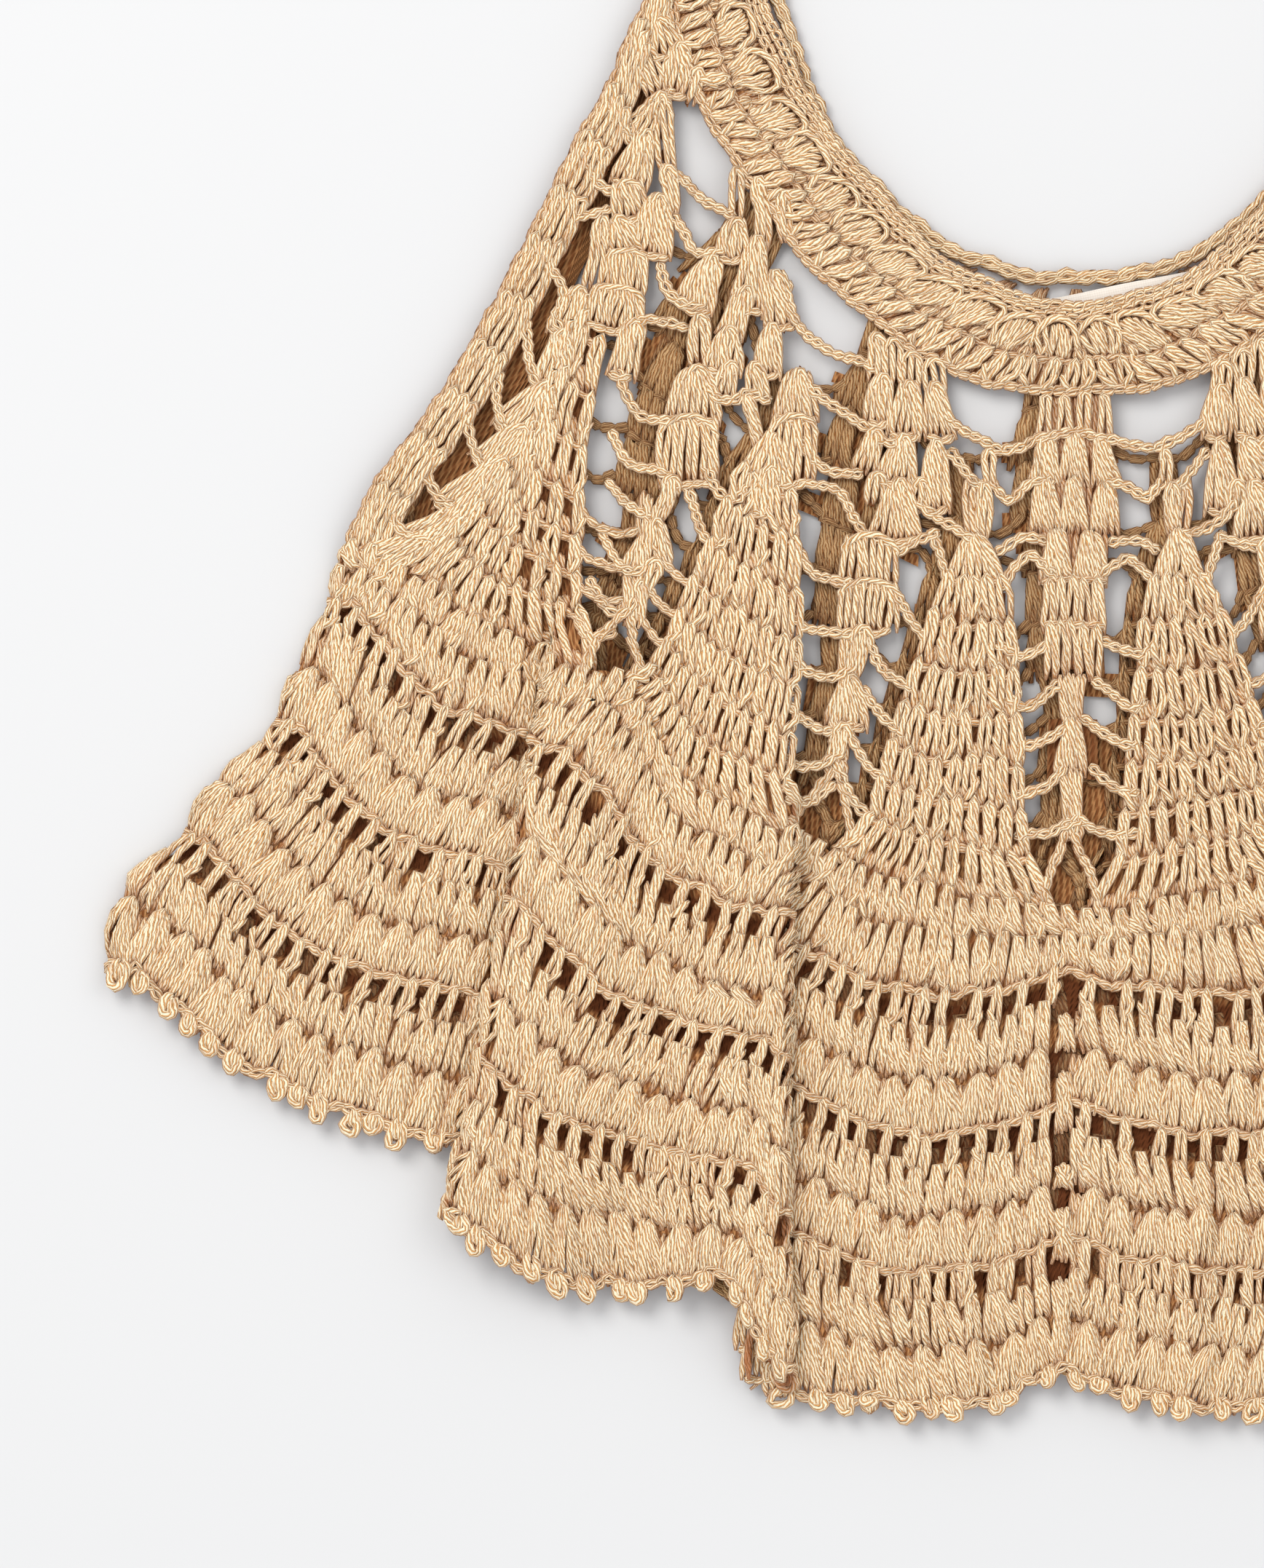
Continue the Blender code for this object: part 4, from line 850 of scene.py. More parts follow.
# %% Steps along a round
def steps(cloth, level, spacing, last=LAST, loose=0.0):
    """Columns of stitches spacing mm apart, each off its place by up to loose of a step."""
    u = np.linspace(-last, last, 3000)
    run = run_along(cloth.at(np.full(len(u), level), u)[0])
    count = max(int(round(run[-1] / spacing)), 1)
    nudge = np.random.default_rng(5 + int(level * 100)).uniform(-loose, loose, count)
    found = np.interp((np.arange(count) + 0.5 + nudge) * run[-1] / count, run, u)
    return found[~cloth.hidden(level, found)]


def lines_along(cloth, level):
    """Visible stretches of a round, as arrays of columns."""
    u = np.linspace(-LAST, LAST, 1500)
    seen = ~cloth.hidden(np.full(len(u), level), u)
    cuts = np.flatnonzero(np.diff(seen.astype(int))) + 1
    return [part for part in np.split(u, cuts) if seen[np.searchsorted(u, part[0])] and len(part) > 3]


def one_mm(cloth, level, column):
    """How many columns a step of 1 mm is at this place."""
    return 1.0 / cloth.per_column(np.full(len(column), level), column)


print("stitches round the hem:", len(steps(front, 24.0, 5.0)))

# %% [markdown]
# ## The skirt rounds
# Below the yoke the rounds are closed: two dense rounds of trebles, then three times an open mesh round,
# a round of puffs and a round of shells. Each round hangs over the one below it, so that no cloth shows
# between them, and the strands of the round above fill the valleys between the shells.

# %% Skirt rounds
PITCH = dict(dense=5.2, mesh=6.7, puffs=5.4, shells=8.6)  # mm from one stitch to the next
COARSE = 1.78  # how much further apart the back's stitches are


def leaning(rng, count, size):
    """Random values that change slowly from one stitch to the next, so neighbours lean together."""
    raw = np.convolve(rng.normal(0, 1, count + 4), (0.1, 0.24, 0.32, 0.24, 0.1), "valid")
    return np.clip(raw * size * 2.0, -2 * size, 2 * size)


def crossing(yarn, v0, tall, u, gap, one, share, way, high, wide, bulge, base):
    """Short strands that cross the gaps between some of the stitches of a round, either way."""
    some = yarn.rng.random(len(u)) < share
    way = np.where(yarn.rng.random(len(u)) < 0.5, 1, -1) * one * way
    start = (v0 + yarn.rng.uniform(*high, len(u)) * tall)[some]
    bundle(yarn, (start, (gap - way)[some]), (start + 0.6 * tall, (gap + way)[some]), wide, 2, bulge, base, 4)


def skirt_round(yarn, kind, v0, v1):
    cloth, rng, fine = yarn.cloth, yarn.rng, yarn.fine
    middle, tall, yarn.radius = (v0 + v1) / 2, v1 - v0, 1.12 if fine else 1.8
    either = lambda front_value, back_value: front_value if fine else back_value
    pitch = PITCH[kind] * either(1.0, COARSE)
    u = steps(cloth, middle, pitch, loose=0.2 if kind == "mesh" else 0.1)
    if fine and v0 > 13 and kind == "mesh":  # two posts stand beside the hole at the centre
        u = np.sort(np.concatenate([u[np.abs(u) > 0.13], [-0.062, 0.062]]))
    elif fine and v0 > 13:
        u = u[np.abs(u) > 0.03]
    one = one_mm(cloth, middle, u)
    lean = one * (leaning(rng, len(u), 0.8) + rng.normal(0, 0.5, len(u)))
    down, gap = rng.normal(0, 0.05, len(u)), u + one * pitch / 2
    if kind != "mesh":  # deep strands in the gaps between the stitches
        gap = np.where(fine & (v0 > 13) & (np.abs(gap) < 0.02), gap - one * pitch, gap)
        bundle(yarn, (v0 + 0.1 * tall, gap + lean * 0.6), (v1 + 0.03, gap - lean), (2.0, 2.5), 2, 0.6,
               0.0 if kind == "dense" else -0.2, 4)
    if kind == "dense":
        top, low = (v0 - 0.1 + down, u + lean * 0.6), (v1 + 0.03 + down, u - lean)
        post(yarn, top, low, (2.9, 3.6), 0.2, either(8, 6), either(0.5, 0))
        bundle(yarn, top, low, (0.7, 1.5), either(2, 1), 1.1, 0.4, either(6, 5))
        if fine:
            crossing(yarn, v0, tall, u, gap, one, 0.6, 1.1, (0.2, 0.45), (1.2, 2.0), 0.8, 0.6)
    if kind == "mesh":
        top = v0 - 0.03 + down, u - one * 0.8 + lean * 0.8
        post(yarn, top, (v1 + 0.14 + down, u + one * 0.8 + lean * 0.5), (1.6, 2.6), 0.2, either(9, 6),
             either(0.6, 0))
        for part in lines_along(cloth, v0):
            wave = v0 + 0.07 + 0.05 * np.sin(part * 31.0) + 0.04 * np.sin(part * 83.0)
            chain(yarn, wave, part, 3.4, 3.9, 0.3, yarn.radius * 0.9, either(5, 4))
        closed = rng.random(len(u)) < np.where((v0 > 20) & (np.abs(u) < 1.3), 0.65, 0.16)
        bundle(yarn, (v0 + 0.05, gap[closed]), (v1 + 0.1, gap[closed]), (1.9, 2.3), 2, 0.7, 0.1, 5)
    if kind == "puffs":
        top, low = (v0 - 0.17 * tall + down, u + lean), (v0 + 1.0 * tall + down, u - lean * 0.5)
        post(yarn, top, low, (2.9, 3.5), 0.3, either(8, 6))
        bundle(yarn, (top[0] + 0.06 * tall, top[1]), low, (1.4, 2.0), either(2, 1), 1.5, 0.6, either(6, 5),
               twist=0.5)
        if fine:
            crossing(yarn, v0, tall, u, gap, one, 0.75, 1.3, (0.12, 0.35), (1.6, 2.2), 0.9, 0.7)
    if kind == "shells":
        bundle(yarn, (v0 + 0.06 * tall, gap + lean), (v0 + 0.6 * tall, gap), (4.0, 2.6), either(3, 2), 0.3,
               0.05, 4)
        bundle(yarn, (v0 - 0.12 * tall + down, u - one * 1.1 + lean), (v1 + 0.1 * tall + down, u + one * 1.1),
               (1.6, 11.6), either(7, 4), 1.7, 0.5, either(6, 5), mid=8.2, domed=0.65, steep=0.8)


def skirt(yarn, rounds):
    for kind, v0, v1 in rounds:
        skirt_round(yarn, kind, v0, v1)
    if yarn.fine:  # between the holes at the centre front
        centre = np.array([-0.012, 0.012])
        for (_, start), (end, _) in zip(SEAM, SEAM[1:] + ((24.5, 0),)):
            if rounds[0][1] < start < rounds[-1][2]:
                bundle(yarn, (start - 0.12, centre), (end + 0.12, -centre), (2.0, 2.6), 3, 1.0, 0.5,
                       radius=1.1)


# %% [markdown]
# ## The yoke
# Each repeat of the yoke has two motifs. Under a junction a block of trebles opens into clusters, like a
# pineapple, and closes again to single strands. Between two junctions a chain arch carries a small fan,
# which grows by a stitch or two each round. Ladders of sagging chain join the two.

# %% Yoke motifs
BEHIND = ((0, 1.2, 0.12), (1, 2.4, 0.14), (2.2, 3.8, 0.14), (3.7, 5.1, 0.13), (5, 6.1, 0.11), (6, 7, 0.1))
PAIR = np.array([-1.0, 1.0])
SAGGING = np.array([0, 0.33, 0.67, 1.0])


def fan_half(level):
    """Half the width of a fan, in columns."""
    return float(np.interp(level, *FAN))


def fewer(yarn, count):
    """The back's motifs have three strands fewer than the front's."""
    return count if yarn.fine else max(2, count - 3)


def pineapple(yarn, k):
    """The whole column, for the back and for the centre of the front."""
    yarn.radius, turns = (1.1, 9) if yarn.fine else (1.5, 6)
    spots = lambda half, count: k + np.linspace(-half, half, count)
    for v0, v1, half in BEHIND:  # a loose layer of strands behind the clusters
        places = spots(half, fewer(yarn, 5))
        bundle(yarn, (v0, places), (v1, places), (1.9, 1.9), 2, 0.2, -0.5)
    post(yarn, (-0.05, spots(0.14, 4)), (1.15, spots(0.15, 4)), (2.2, 3.2), 0.3, turns)
    chain(yarn, 1.0, spots(0.19, 4), 3.4, 4.0, 0.3)
    for v0, half0, v1, half1, count, wide, strands, bulge, base in (
            (0.98, 0.13, 2.4, 0.16, 3, (2.4, 8.8), 7, 1.1, 0.4),
            (2.2, 0.15, 3.8, 0.15, 3, (2.4, 8.6), 7, 1.2, 0.45),
            (3.65, 0.08, 5.1, 0.09, 2, (2.6, 9.4), 8, 1.2, 0.5)):
        bundle(yarn, (v0, spots(half0, count)), (v1, spots(half1, count)), wide, fewer(yarn, strands), bulge,
               base, steep=0.8)
    chain(yarn, 5.0, spots(0.16, 4), 3.4, 4.0, 0.4)
    post(yarn, (4.95, spots(0.12, 5)), (6.15, spots(0.12, 5)), (2.0, 2.6), 0.35, turns)
    chain(yarn, 6.02, spots(0.14, 4), 3.4, 4.0, 0.4)
    post(yarn, (5.98, spots(0.11, 5)), (7.15, spots(0.095, 5)), (2.0, 2.4), 0.35, turns)
    tail(yarn, k)


def tail(yarn, k):
    """The lower end of a pineapple, down to the junction: stalk, cluster, stalk, knot and two chains."""
    for v0, half0, v1, half1, wide, bulge in ((7.05, 0.03, 8.15, 0.012, (2.8, 2.0), 0.7),
                                              (8.0, 0, 9.25, 0, (2.6, 8.6), 1.1),
                                              (9.1, 0.022, 10.25, 0.01, (2.6, 1.8), 0.7)):
        ways, strands = (PAIR, 3) if half0 else (PAIR[:1], 7)
        bundle(yarn, (v0, k + half0 * ways), (v1, k + half1 * ways), wide, fewer(yarn, strands), bulge, 0.3,
               steep=1.0 if half0 else 0.8)
    knot(yarn, 10.25, k, (2.8, 0.25), 5, 0.9)
    for side in (-1, 1):
        chain(yarn, [10.3, 10.8, 11.3, 12.1], k + side * np.array([0.01, 0.05, 0.085, 0.1]), 3.7, 3.6, 0.5,
              yarn.radius)


def fan(yarn, middle):
    fine, rng = yarn.fine, yarn.rng
    yarn.radius = 1.22 if fine else 1.5
    if abs(middle) < 2:  # its stem, and the first shell on it
        two = 0.025 * PAIR
        bundle(yarn, (2.05, middle + two), (2.5, middle + two), (1.9, 2.1), 2, 0.3, 0.2)
        bundle(yarn, (2.25, middle + two * 1.3), (3.85, middle + two * 0.8), (1.9, 2.1), 2, 0.3, 0.2)
        bundle(yarn, (3.62, middle), (5.15, middle), (2.2, 16.0), fewer(yarn, 8), 1.6, 0.4, mid=10.0,
               steep=0.75)
    for v in range(5, 12):
        half0, half1 = fan_half(v), fan_half(v + 1)
        wide = (half0 + half1) * float(yarn.cloth.per_column(np.array([v + 0.5]), np.array([middle]))[0])
        count = max(int(round(wide / (5.1 if fine else 7.6))) + 1, 3)
        share = np.linspace(-1, 1, count) + rng.normal(0, 0.1, count) / count
        u0, u1 = middle + share * (half0 - 0.015), middle + share * (half1 - 0.02)
        chain(yarn, v + 0.04 + rng.normal(0, 0.02, 8), middle + np.linspace(-half0, half0, 8), 3.1, 3.9, 0.1,
              yarn.radius * 0.9, 5 if fine else 4)
        down, first = rng.normal(0, 0.03, count), 0.5 if v < 10 else 0.62
        above, below = ((a[1:] + a[:-1]) / 2 for a in (u0, u1))
        bundle(yarn, (v + first, above + (below - above) * first), (v + 1.02, below), (1.2, 2.0), 2,
               0.5, -0.2, 4)
        post(yarn, (v - 0.15 + down, u0), (v + 1.0 + down, u1), (2.3, 2.3) if v < 10 else (1.8, 1.8), 0.25,
             9 if fine else 5, 0.6 if fine else 0, 1.25)


def ladders(yarn, k, middle):
    """Chain arches between the pineapple at k and the fan at middle. On the front only the lower ones."""
    side = np.sign(middle - k)
    if not yarn.fine:
        for levels, columns in (([1.7, 2.0, 2.15, 2.1], [0.19, 0.29, 0.39, 0.5]),
                                ([3.6, 3.95, 3.95, 3.75], [0.17, 0.27, 0.38, 0.47])):
            chain(yarn, levels, k + side * np.array(columns), 3.6, 3.7, 0.6)
    for v in range(8 if yarn.fine else 5, 12):
        u0, u1 = float(np.interp(v, *NARROW)) if v < 7.5 else 0.03, 0.5 - fan_half(v) + 0.01
        lift = -0.35 if v == 5 else 0.3
        chain(yarn, [v - 0.1, v + lift * 0.7, v + lift, v + 0.1], k + side * (u0 + (u1 - u0) * SAGGING),
              3.6, 3.7, 0.6)


# %% The front's lace
def front_lace(yarn):
    for side in (1, -1):
        for x0, y0, x1, y1, wide0, wide1, count in CLUSTERS:
            tuft(yarn, side, x0, y0, x1, y1, wide0, wide1, count)
            if wide1 >= 8:  # a chain lies over the foot of a wide cluster
                way = np.array([y1 - y0, x0 - x1]) / np.hypot(x1 - x0, y1 - y0) * (wide1 / 2 / UNIT - 11)
                rope(yarn, side, [(x1, y1) - way, (x1, y1 + 3), (x1, y1) + way], 3.2, 0.75, 0.9)
        for places in CHAINS:
            rope(yarn, side, places)


# %% The armhole column, and the whole yoke
JOINTS = (-0.6, 0.85, 1.85, 3.3, 4.95, 5.9, 6.95, 8.05, 9.1, 10.0, 10.95, 12.0)  # levels along the armhole


def armhole_columns(yarn):
    """The columns along the armholes: blocks of long strands. Each block's rounded top lies over the last."""
    yarn.radius, count, turns = (1.1, 6, 8) if yarn.fine else (1.3, 4, 6)
    for side in (-1, 1):
        for v0, v1 in zip(JOINTS[:-1], JOINTS[1:]):
            mm = yarn.cloth.per_column(np.array([v0, v1]), np.full(2, 3.2))
            u = side * (LAST - 6.3 / mm)
            top, low = (v0 - 0.1, u[:1]), (v1 + 0.12, u[1:])
            bundle(yarn, top, low, (7.6, 10.4), count, 1.1, 0.15, turns, mid=10.6, domed=0.35)
            bundle(yarn, top, low, (5.0, 7.0), count - 2, 1.3, 0.8, turns, mid=8.0, domed=0.4)
            for part in np.array([-3.6, 0.0, 3.6]) * (1.0 / mm[0]):
                post(yarn, (v0 - 0.16, u[:1] + part), (v0 + 0.3 * (v1 - v0), u[:1] + part), (2.2, 2.4), 0.9,
                     7, lift=1.6, radius=yarn.radius * 1.08)
        chain(yarn, np.linspace(0, 12, 90), side * (LAST - 0.012), 3.4, 3.6, 0.3)


def yoke(yarn):
    for k in (-2.0, -1.0, 0.0, 1.0, 2.0):
        if yarn.fine and k != 0:
            yarn.radius = 1.08
            tail(yarn, k)
        else:
            pineapple(yarn, k)
    for middle in (-2.5, -1.5, -0.5, 0.5, 1.5, 2.5):
        fan(yarn, middle)
        for k in (middle - 0.5, middle + 0.5):
            if abs(k) < 2.9 and (not yarn.fine or abs(k) == 2):
                ladders(yarn, k, middle)


# %% [markdown]
# ## The neckband
# The neckband starts with two cords of chain at the inner edge. Under them is a round of scallops, each a
# nest of arched strands, then a round of trebles, and the chain that the yoke hangs from.

# %% Neckband stitches
ARCH = np.array([0.8, 0.5, 0.22, 0.05, 0.0, 0.05, 0.22, 0.5, 0.8])  # down a scallop's rim
ACROSS = np.array([-0.9, -1, -0.92, -0.55, 0, 0.55, 0.92, 1, 0.9])  # and across it
RIM_RISE = np.array([-0.9, 0.3, 0.7, 0.8, 0.8, 0.8, 0.7, 0.3, -0.9])


def neckband(yarn):
    r, fine, rng = 1.05, yarn.fine, yarn.rng
    yarn.radius, line = r, np.linspace(-SPAN, SPAN, 500)
    if fine:
        chain(yarn, 0.01, line, 4.6, 3.0, 0.9, 1.0, 4)
        chain(yarn, 0.125, line, 5.0, 3.2, 0.7, 1.0, 4)
    else:  # one thick cord, and the label's opening below it
        chain(yarn, 0.02, line, 5.4, 4.6, 1.2, 1.3, 5)
    u = steps(yarn.cloth, 0.42, 13.8, SPAN, 0.06)
    one = one_mm(yarn.cloth, 0.42, u)
    gap, lean = u + one * 6.9, one * rng.normal(0, 0.5, len(u))
    bundle(yarn, (0.14, gap), (0.64, gap), (3.0, 4.6), 3, 0.4, -0.3, 4)
    start = 0.17 if fine else 0.36
    if fine:
        bundle(yarn, (0.2, u), (0.62, u), (6.8, 9.0), 5, 0.4, -0.2, 4)
    for f in np.linspace(-1, 1, 7 if fine else 5):
        ends = pairs_of((start + 0.03 + 0.12 * f * f, u + lean + one * f * 5.9),
                        (0.6, u - lean + one * f * 1.9))
        strand(yarn, ends, np.array([0.0, 0.14, 0.55, 1.0]), np.zeros(4),
               0.5 + np.array([-0.1, 1.1, 1.0, -0.4]), wander=0.35)
    ends = pairs_of((start - 0.02, u + lean), (0.6, u - lean))
    strand(yarn, ends, ARCH, ACROSS * 6.4, 1.1 + RIM_RISE, r * 1.1, 11 if fine else 7, 0.3)
    if fine:
        for away, level in ((-2.6, 0.52), (2.0, 0.5), (6.9, 0.36), (6.3, 0.54)):
            knot(yarn, level, u + one * away, (1.5, 0.065), 3, 1.5, 0.95, 5)
    chain(yarn, 0.62, line, 3.4, 4.2, 0.3, r * 0.9, 4)
    u = steps(yarn.cloth, 0.8, 5.7, SPAN, 0.12)
    one = one_mm(yarn.cloth, 0.8, u)
    lean, gap = one * rng.normal(0, 0.9, len(u)), u + one * 2.85
    bundle(yarn, (0.6, gap), (0.97, gap), (2.0, 2.6), 2, 0.4, -0.1, 4)
    post(yarn, (0.6, u + lean), (0.95, u - lean), (2.2, 2.6), 0.3, 9 if fine else 6, 1.0 if fine else 0, 1.4,
         r * 1.15)
    chain(yarn, 0.95, line, 4.2, 3.5, 0.5, 1.0, 4)


# %% [markdown]
# ## The picot hem
# The last round ends in picots: a loop of yarn closed to a small ball at every second stitch.

# %% Picots
def picots(yarn):
    for part in lines_along(yarn.cloth, 24.6):
        chain(yarn, 24.6 + 0.08 * np.sin(part * 29.0) + 0.05 * np.sin(part * 71.0), part, 4.2, 3.8, 0.6)
    u = steps(yarn.cloth, 24.9, 9.0, loose=0.3)
    if yarn.fine:  # none inside the fold beside the middle
        u = u[np.abs(np.abs(u) - 0.78) > 0.02]
    u = u + one_mm(yarn.cloth, 24.9, u) * yarn.rng.normal(0, 0.9, len(u))
    top, low = (level + yarn.rng.normal(0, wander, len(u)) for level, wander in ((24.42, 0.06), (24.9, 0.08)))
    turn = np.linspace(-2.7, 2.7, 9)
    strand(yarn, pairs_of((top, u), (low, u)), 0.5 + 0.5 * np.cos(turn), 2.0 * np.sin(turn),
           0.9 + 0.7 * np.cos(turn / 2), 1.35, 11 if yarn.fine else 8, 0.3)
    knot(yarn, 24.66, u, (1.8, 0.2), 4, 1.9, 1.15, 5)


# %% [markdown]
# ## Shader maths in plain Python
# A material is a graph of nodes. Wrapping a socket in a small class lets the graph be written as
# arithmetic, which is far easier to read and to change.


# %% Sockets with arithmetic
class Value:
    """A number that varies over the surface; + - * make Math nodes."""

    def __init__(self, paint, socket):
        self.paint, self.socket = paint, socket

    def maths(self, operation, *inputs):
        node = self.paint.node("ShaderNodeMath", dict(operation=operation), *inputs)
        return Value(self.paint, node.outputs[0])

    def __add__(self, other):
        return self.maths("ADD", self, other)

    def __mul__(self, other):
        return self.maths("MULTIPLY", self, other)

    def __sub__(self, other):
        return self.maths("SUBTRACT", self, other)

    def __rsub__(self, other):
        return self.maths("SUBTRACT", other, self)

    def sine(self):
        return self.maths("SINE", self)

    def span(self, low, high):
        """0 at low, 1 at high, held outside."""
        node = self.paint.node("ShaderNodeMapRange", dict(interpolation_type="SMOOTHSTEP"), self,
                               low, high, 0.0, 1.0)
        return Value(self.paint, node.outputs[0])


class Paint:
    """A material being written."""

    def __init__(self, name):
        self.material = bpy.data.materials.new(name)
        self.material.use_nodes = True
        self.tree = self.material.node_tree
        self.shader = next(n for n in self.tree.nodes if n.type == "BSDF_PRINCIPLED")

    def node(self, kind, settings, *inputs, **named):
        """A node of any kind, with its settings and what feeds its inputs, by order or by name."""
        made = self.tree.nodes.new(kind)
        for key, value in settings.items():
            setattr(made, key, value)
        for key, value in [*enumerate(inputs), *((k.replace("_", " "), v) for k, v in named.items())]:
            self.feed(made.inputs[key], value)
        return made

    def feed(self, socket, value):
        value = value.socket if isinstance(value, Value) else value
        if isinstance(value, bpy.types.NodeSocket):
            self.tree.links.new(value, socket)
        else:
            socket.default_value = value

    def blend(self, share, first, second):
        """A colour from first to second."""
        node = self.node("ShaderNodeMix", dict(data_type="RGBA", clamp_factor=True))
        for i, value in ((0, share), (6, first), (7, second)):
            self.feed(node.inputs[i], value)
        return node.outputs[2]

    def attribute(self, name):
        return Value(self, self.node("ShaderNodeAttribute", dict(attribute_name=name)).outputs["Fac"])

    def object_place(self):
        return self.node("ShaderNodeTexCoord", {}).outputs["Object"]

    def parts(self, vector):
        """The first two numbers of a place."""
        node = self.node("ShaderNodeSeparateXYZ", {}, vector)
        return (Value(self, node.outputs[i]) for i in (0, 1))

    def own_place(self, name):
        """The piece's own coordinates, as two numbers."""
        return self.parts(self.node("ShaderNodeUVMap", dict(uv_map=name)).outputs[0])

    def noise(self, where, scale, detail=2.0, rough=0.5):
        if isinstance(where, tuple):
            where = self.node("ShaderNodeCombineXYZ", {}, *where).outputs[0]
        node = self.node("ShaderNodeTexNoise", dict(noise_dimensions="3D"), Vector=where, Scale=scale,
                         Detail=detail, Roughness=rough)
        return Value(self, node.outputs[0])

    def bump(self, height, strength, distance):
        return self.node("ShaderNodeBump", {}, Height=height, Strength=strength, Distance=distance).outputs[0]

    def finish(self, **values):
        for key, value in values.items():
            self.feed(self.shader.inputs[key.replace("_", " ")], value)
        return self.material


def rgb(red, green, blue):
    """A colour from screen values of 0 to 255."""
    shares = (c / 255 for c in (red, green, blue))
    return (*(c / 12.92 if c < 10 / 255 else ((c + 0.055) / 1.055) ** 2.4 for c in shares), 1.0)


print("sockets can be added, taken away and multiplied")

# %% [markdown]
# ## Cotton yarn
# The yarn is several plies twisted together, loosely, so each strand shows slanted streaks with grooves
# between them, painted warm brown as shade besides their bump, and a soft fluff of fibres on top. Light
# sinks between strands, so the sides of each strand and what lies deep are painted browner, as shade.
# The streaks follow the strand through its own coordinates: how far round, how far along.

# %% Cotton
TURN = 2 * np.pi
PLIES, LAY = 7.0, 0.34  # plies round a strand, and turns in each mm along it
SHADE_YARN, SHADE_LINING = rgb(108, 61, 31), rgb(104, 58, 32)  # where little light comes


def cotton(name, pale, groove, deep):
    paint = Paint(name)
    around, along = paint.own_place("strand")
    tone, depth, shade = (paint.attribute(name) for name in ("tone", "depth", "shade"))
    at = paint.object_place()
    twist = ((around * PLIES + along * LAY + tone * 7.0 + paint.noise(at, 420.0) * 1.3) * TURN).sine()
    ply = (twist * 0.5 + 0.5).span(0.0, 0.6)
    fibre = paint.noise((around * 17.0 + along * 0.9, along * 0.5, tone * 90.0), 1.0, 3.0, 0.65)
    streak = paint.noise((around * 5.0 + along * 0.25, along * 0.16, tone * 60.0), 1.0, 1.0).span(0.56, 0.7)
    # Painted shade: the sides and underside of each strand, which face away from the light.
    side = 1.0 - ((around - 0.25) * TURN).sine().span(-0.35, 0.7)
    patch = paint.noise(at, 16.0)
    sunk = 1.0 - depth.span(-0.5, 2.0)
    # Painted shade in the grooves between plies, mixed with the fibre's own tone, each strand's tone and
    # patches of colour.
    ply_shade_and_fibre = (1.0 - ply) * 1.05 + (fibre - 0.5) * 1.0 + (tone - 0.5) * 0.2 + (patch - 0.5) * 0.3
    colour = paint.blend(ply_shade_and_fibre.span(0.0, 1.0), pale, groove)
    # Painted shade on the strand sides, and darker fibre streaks of the yarn's own colour.
    colour = paint.blend(side * 0.34 + streak * 0.3, colour, deep)
    colour = paint.blend(sunk * 0.75, colour, deep)
    colour = paint.blend(shade, colour, SHADE_YARN)
    height = ply * 0.7 + fibre * 0.7 - streak * 0.5
    return paint.finish(Base_Color=colour, Roughness=0.88, Normal=paint.bump(height, 1.0, 0.0007),
                        Sheen_Weight=0.1, Sheen_Roughness=0.5, Sheen_Tint=rgb(255, 235, 205),
                        Specular_IOR_Level=0.2)


# pale is the yarn's own colour; groove and deep carry painted shade, and deep also darker fibre streaks. The
# back's cotton is the same yarn, painted darker and warmer as the shade it lies in under the front.
yarn_front = cotton("cotton_front", rgb(255, 237, 203), rgb(230, 166, 98), rgb(178, 98, 42))
yarn_back_shaded = cotton("cotton_back", rgb(247, 209, 154), rgb(205, 139, 75), rgb(148, 80, 33))
yarn_neck = cotton("cotton_neck", rgb(255, 237, 202), rgb(226, 164, 97), rgb(170, 94, 42))


def worked_cloth(name, light, dark):
    """A cloth of strands side by side, drawn by its own coordinates: mm along the round, mm down."""
    paint = Paint(name)
    at = paint.object_place()
    run, down = paint.own_place("cloth")
    grain, wave = paint.noise(at, 900.0, 3.0, 0.6), paint.noise(at, 120.0, 1.0)
    strands = ((run * 0.5 + wave * 1.2) * TURN).sine() * 0.5 + 0.5
    ply = ((run * 0.9 + down * 0.42 + wave) * TURN).sine() * 0.5 + 0.5
    mix = strands * 0.55 + ply * 0.3 + grain * 0.4
    colour = paint.blend(mix.span(0.3, 0.95), dark, light)
    colour = paint.blend(paint.attribute("shade"), colour, SHADE_LINING)
    return paint.finish(Base_Color=colour, Roughness=0.95, Normal=paint.bump(mix, 0.9, 0.001),
                        Specular_IOR_Level=0.1)


# The lining's colours are darker than the yarn's, as painted shade between strands.
lining_paint = worked_cloth("cotton_deep", rgb(220, 162, 106), rgb(150, 93, 52))
print("materials:", [m.name for m in bpy.data.materials if m.name.startswith("cotton")])

# %% [markdown]
# ## The cloth behind the yarn
# Between two strands the eye sees not a hole but more yarn, deep in shade. A thin single layer of cloth
# in the middle of the stitches gives that: it follows the same map and is coloured darker than the yarn,
# as painted shade. It has the openings of the back's lace and of the front's yoke. Under the front's mesh
# rounds and the holes at the centre front it stays closed, lies deeper and is painted in full shade.

# %% Linings
# Under the front's mesh rounds and beside the centre seam the lining stays closed, lies deeper and is painted
# in full shade.
SINK = 1.4  # mm that the lining lies deeper behind the open rounds


def grid_faces(shape, keep, base=0):
    j, i = np.nonzero(keep)
    a = base + j * shape[1] + i
    return np.stack([a, a + shape[1], a + shape[1] + 1, a + 1], -1)


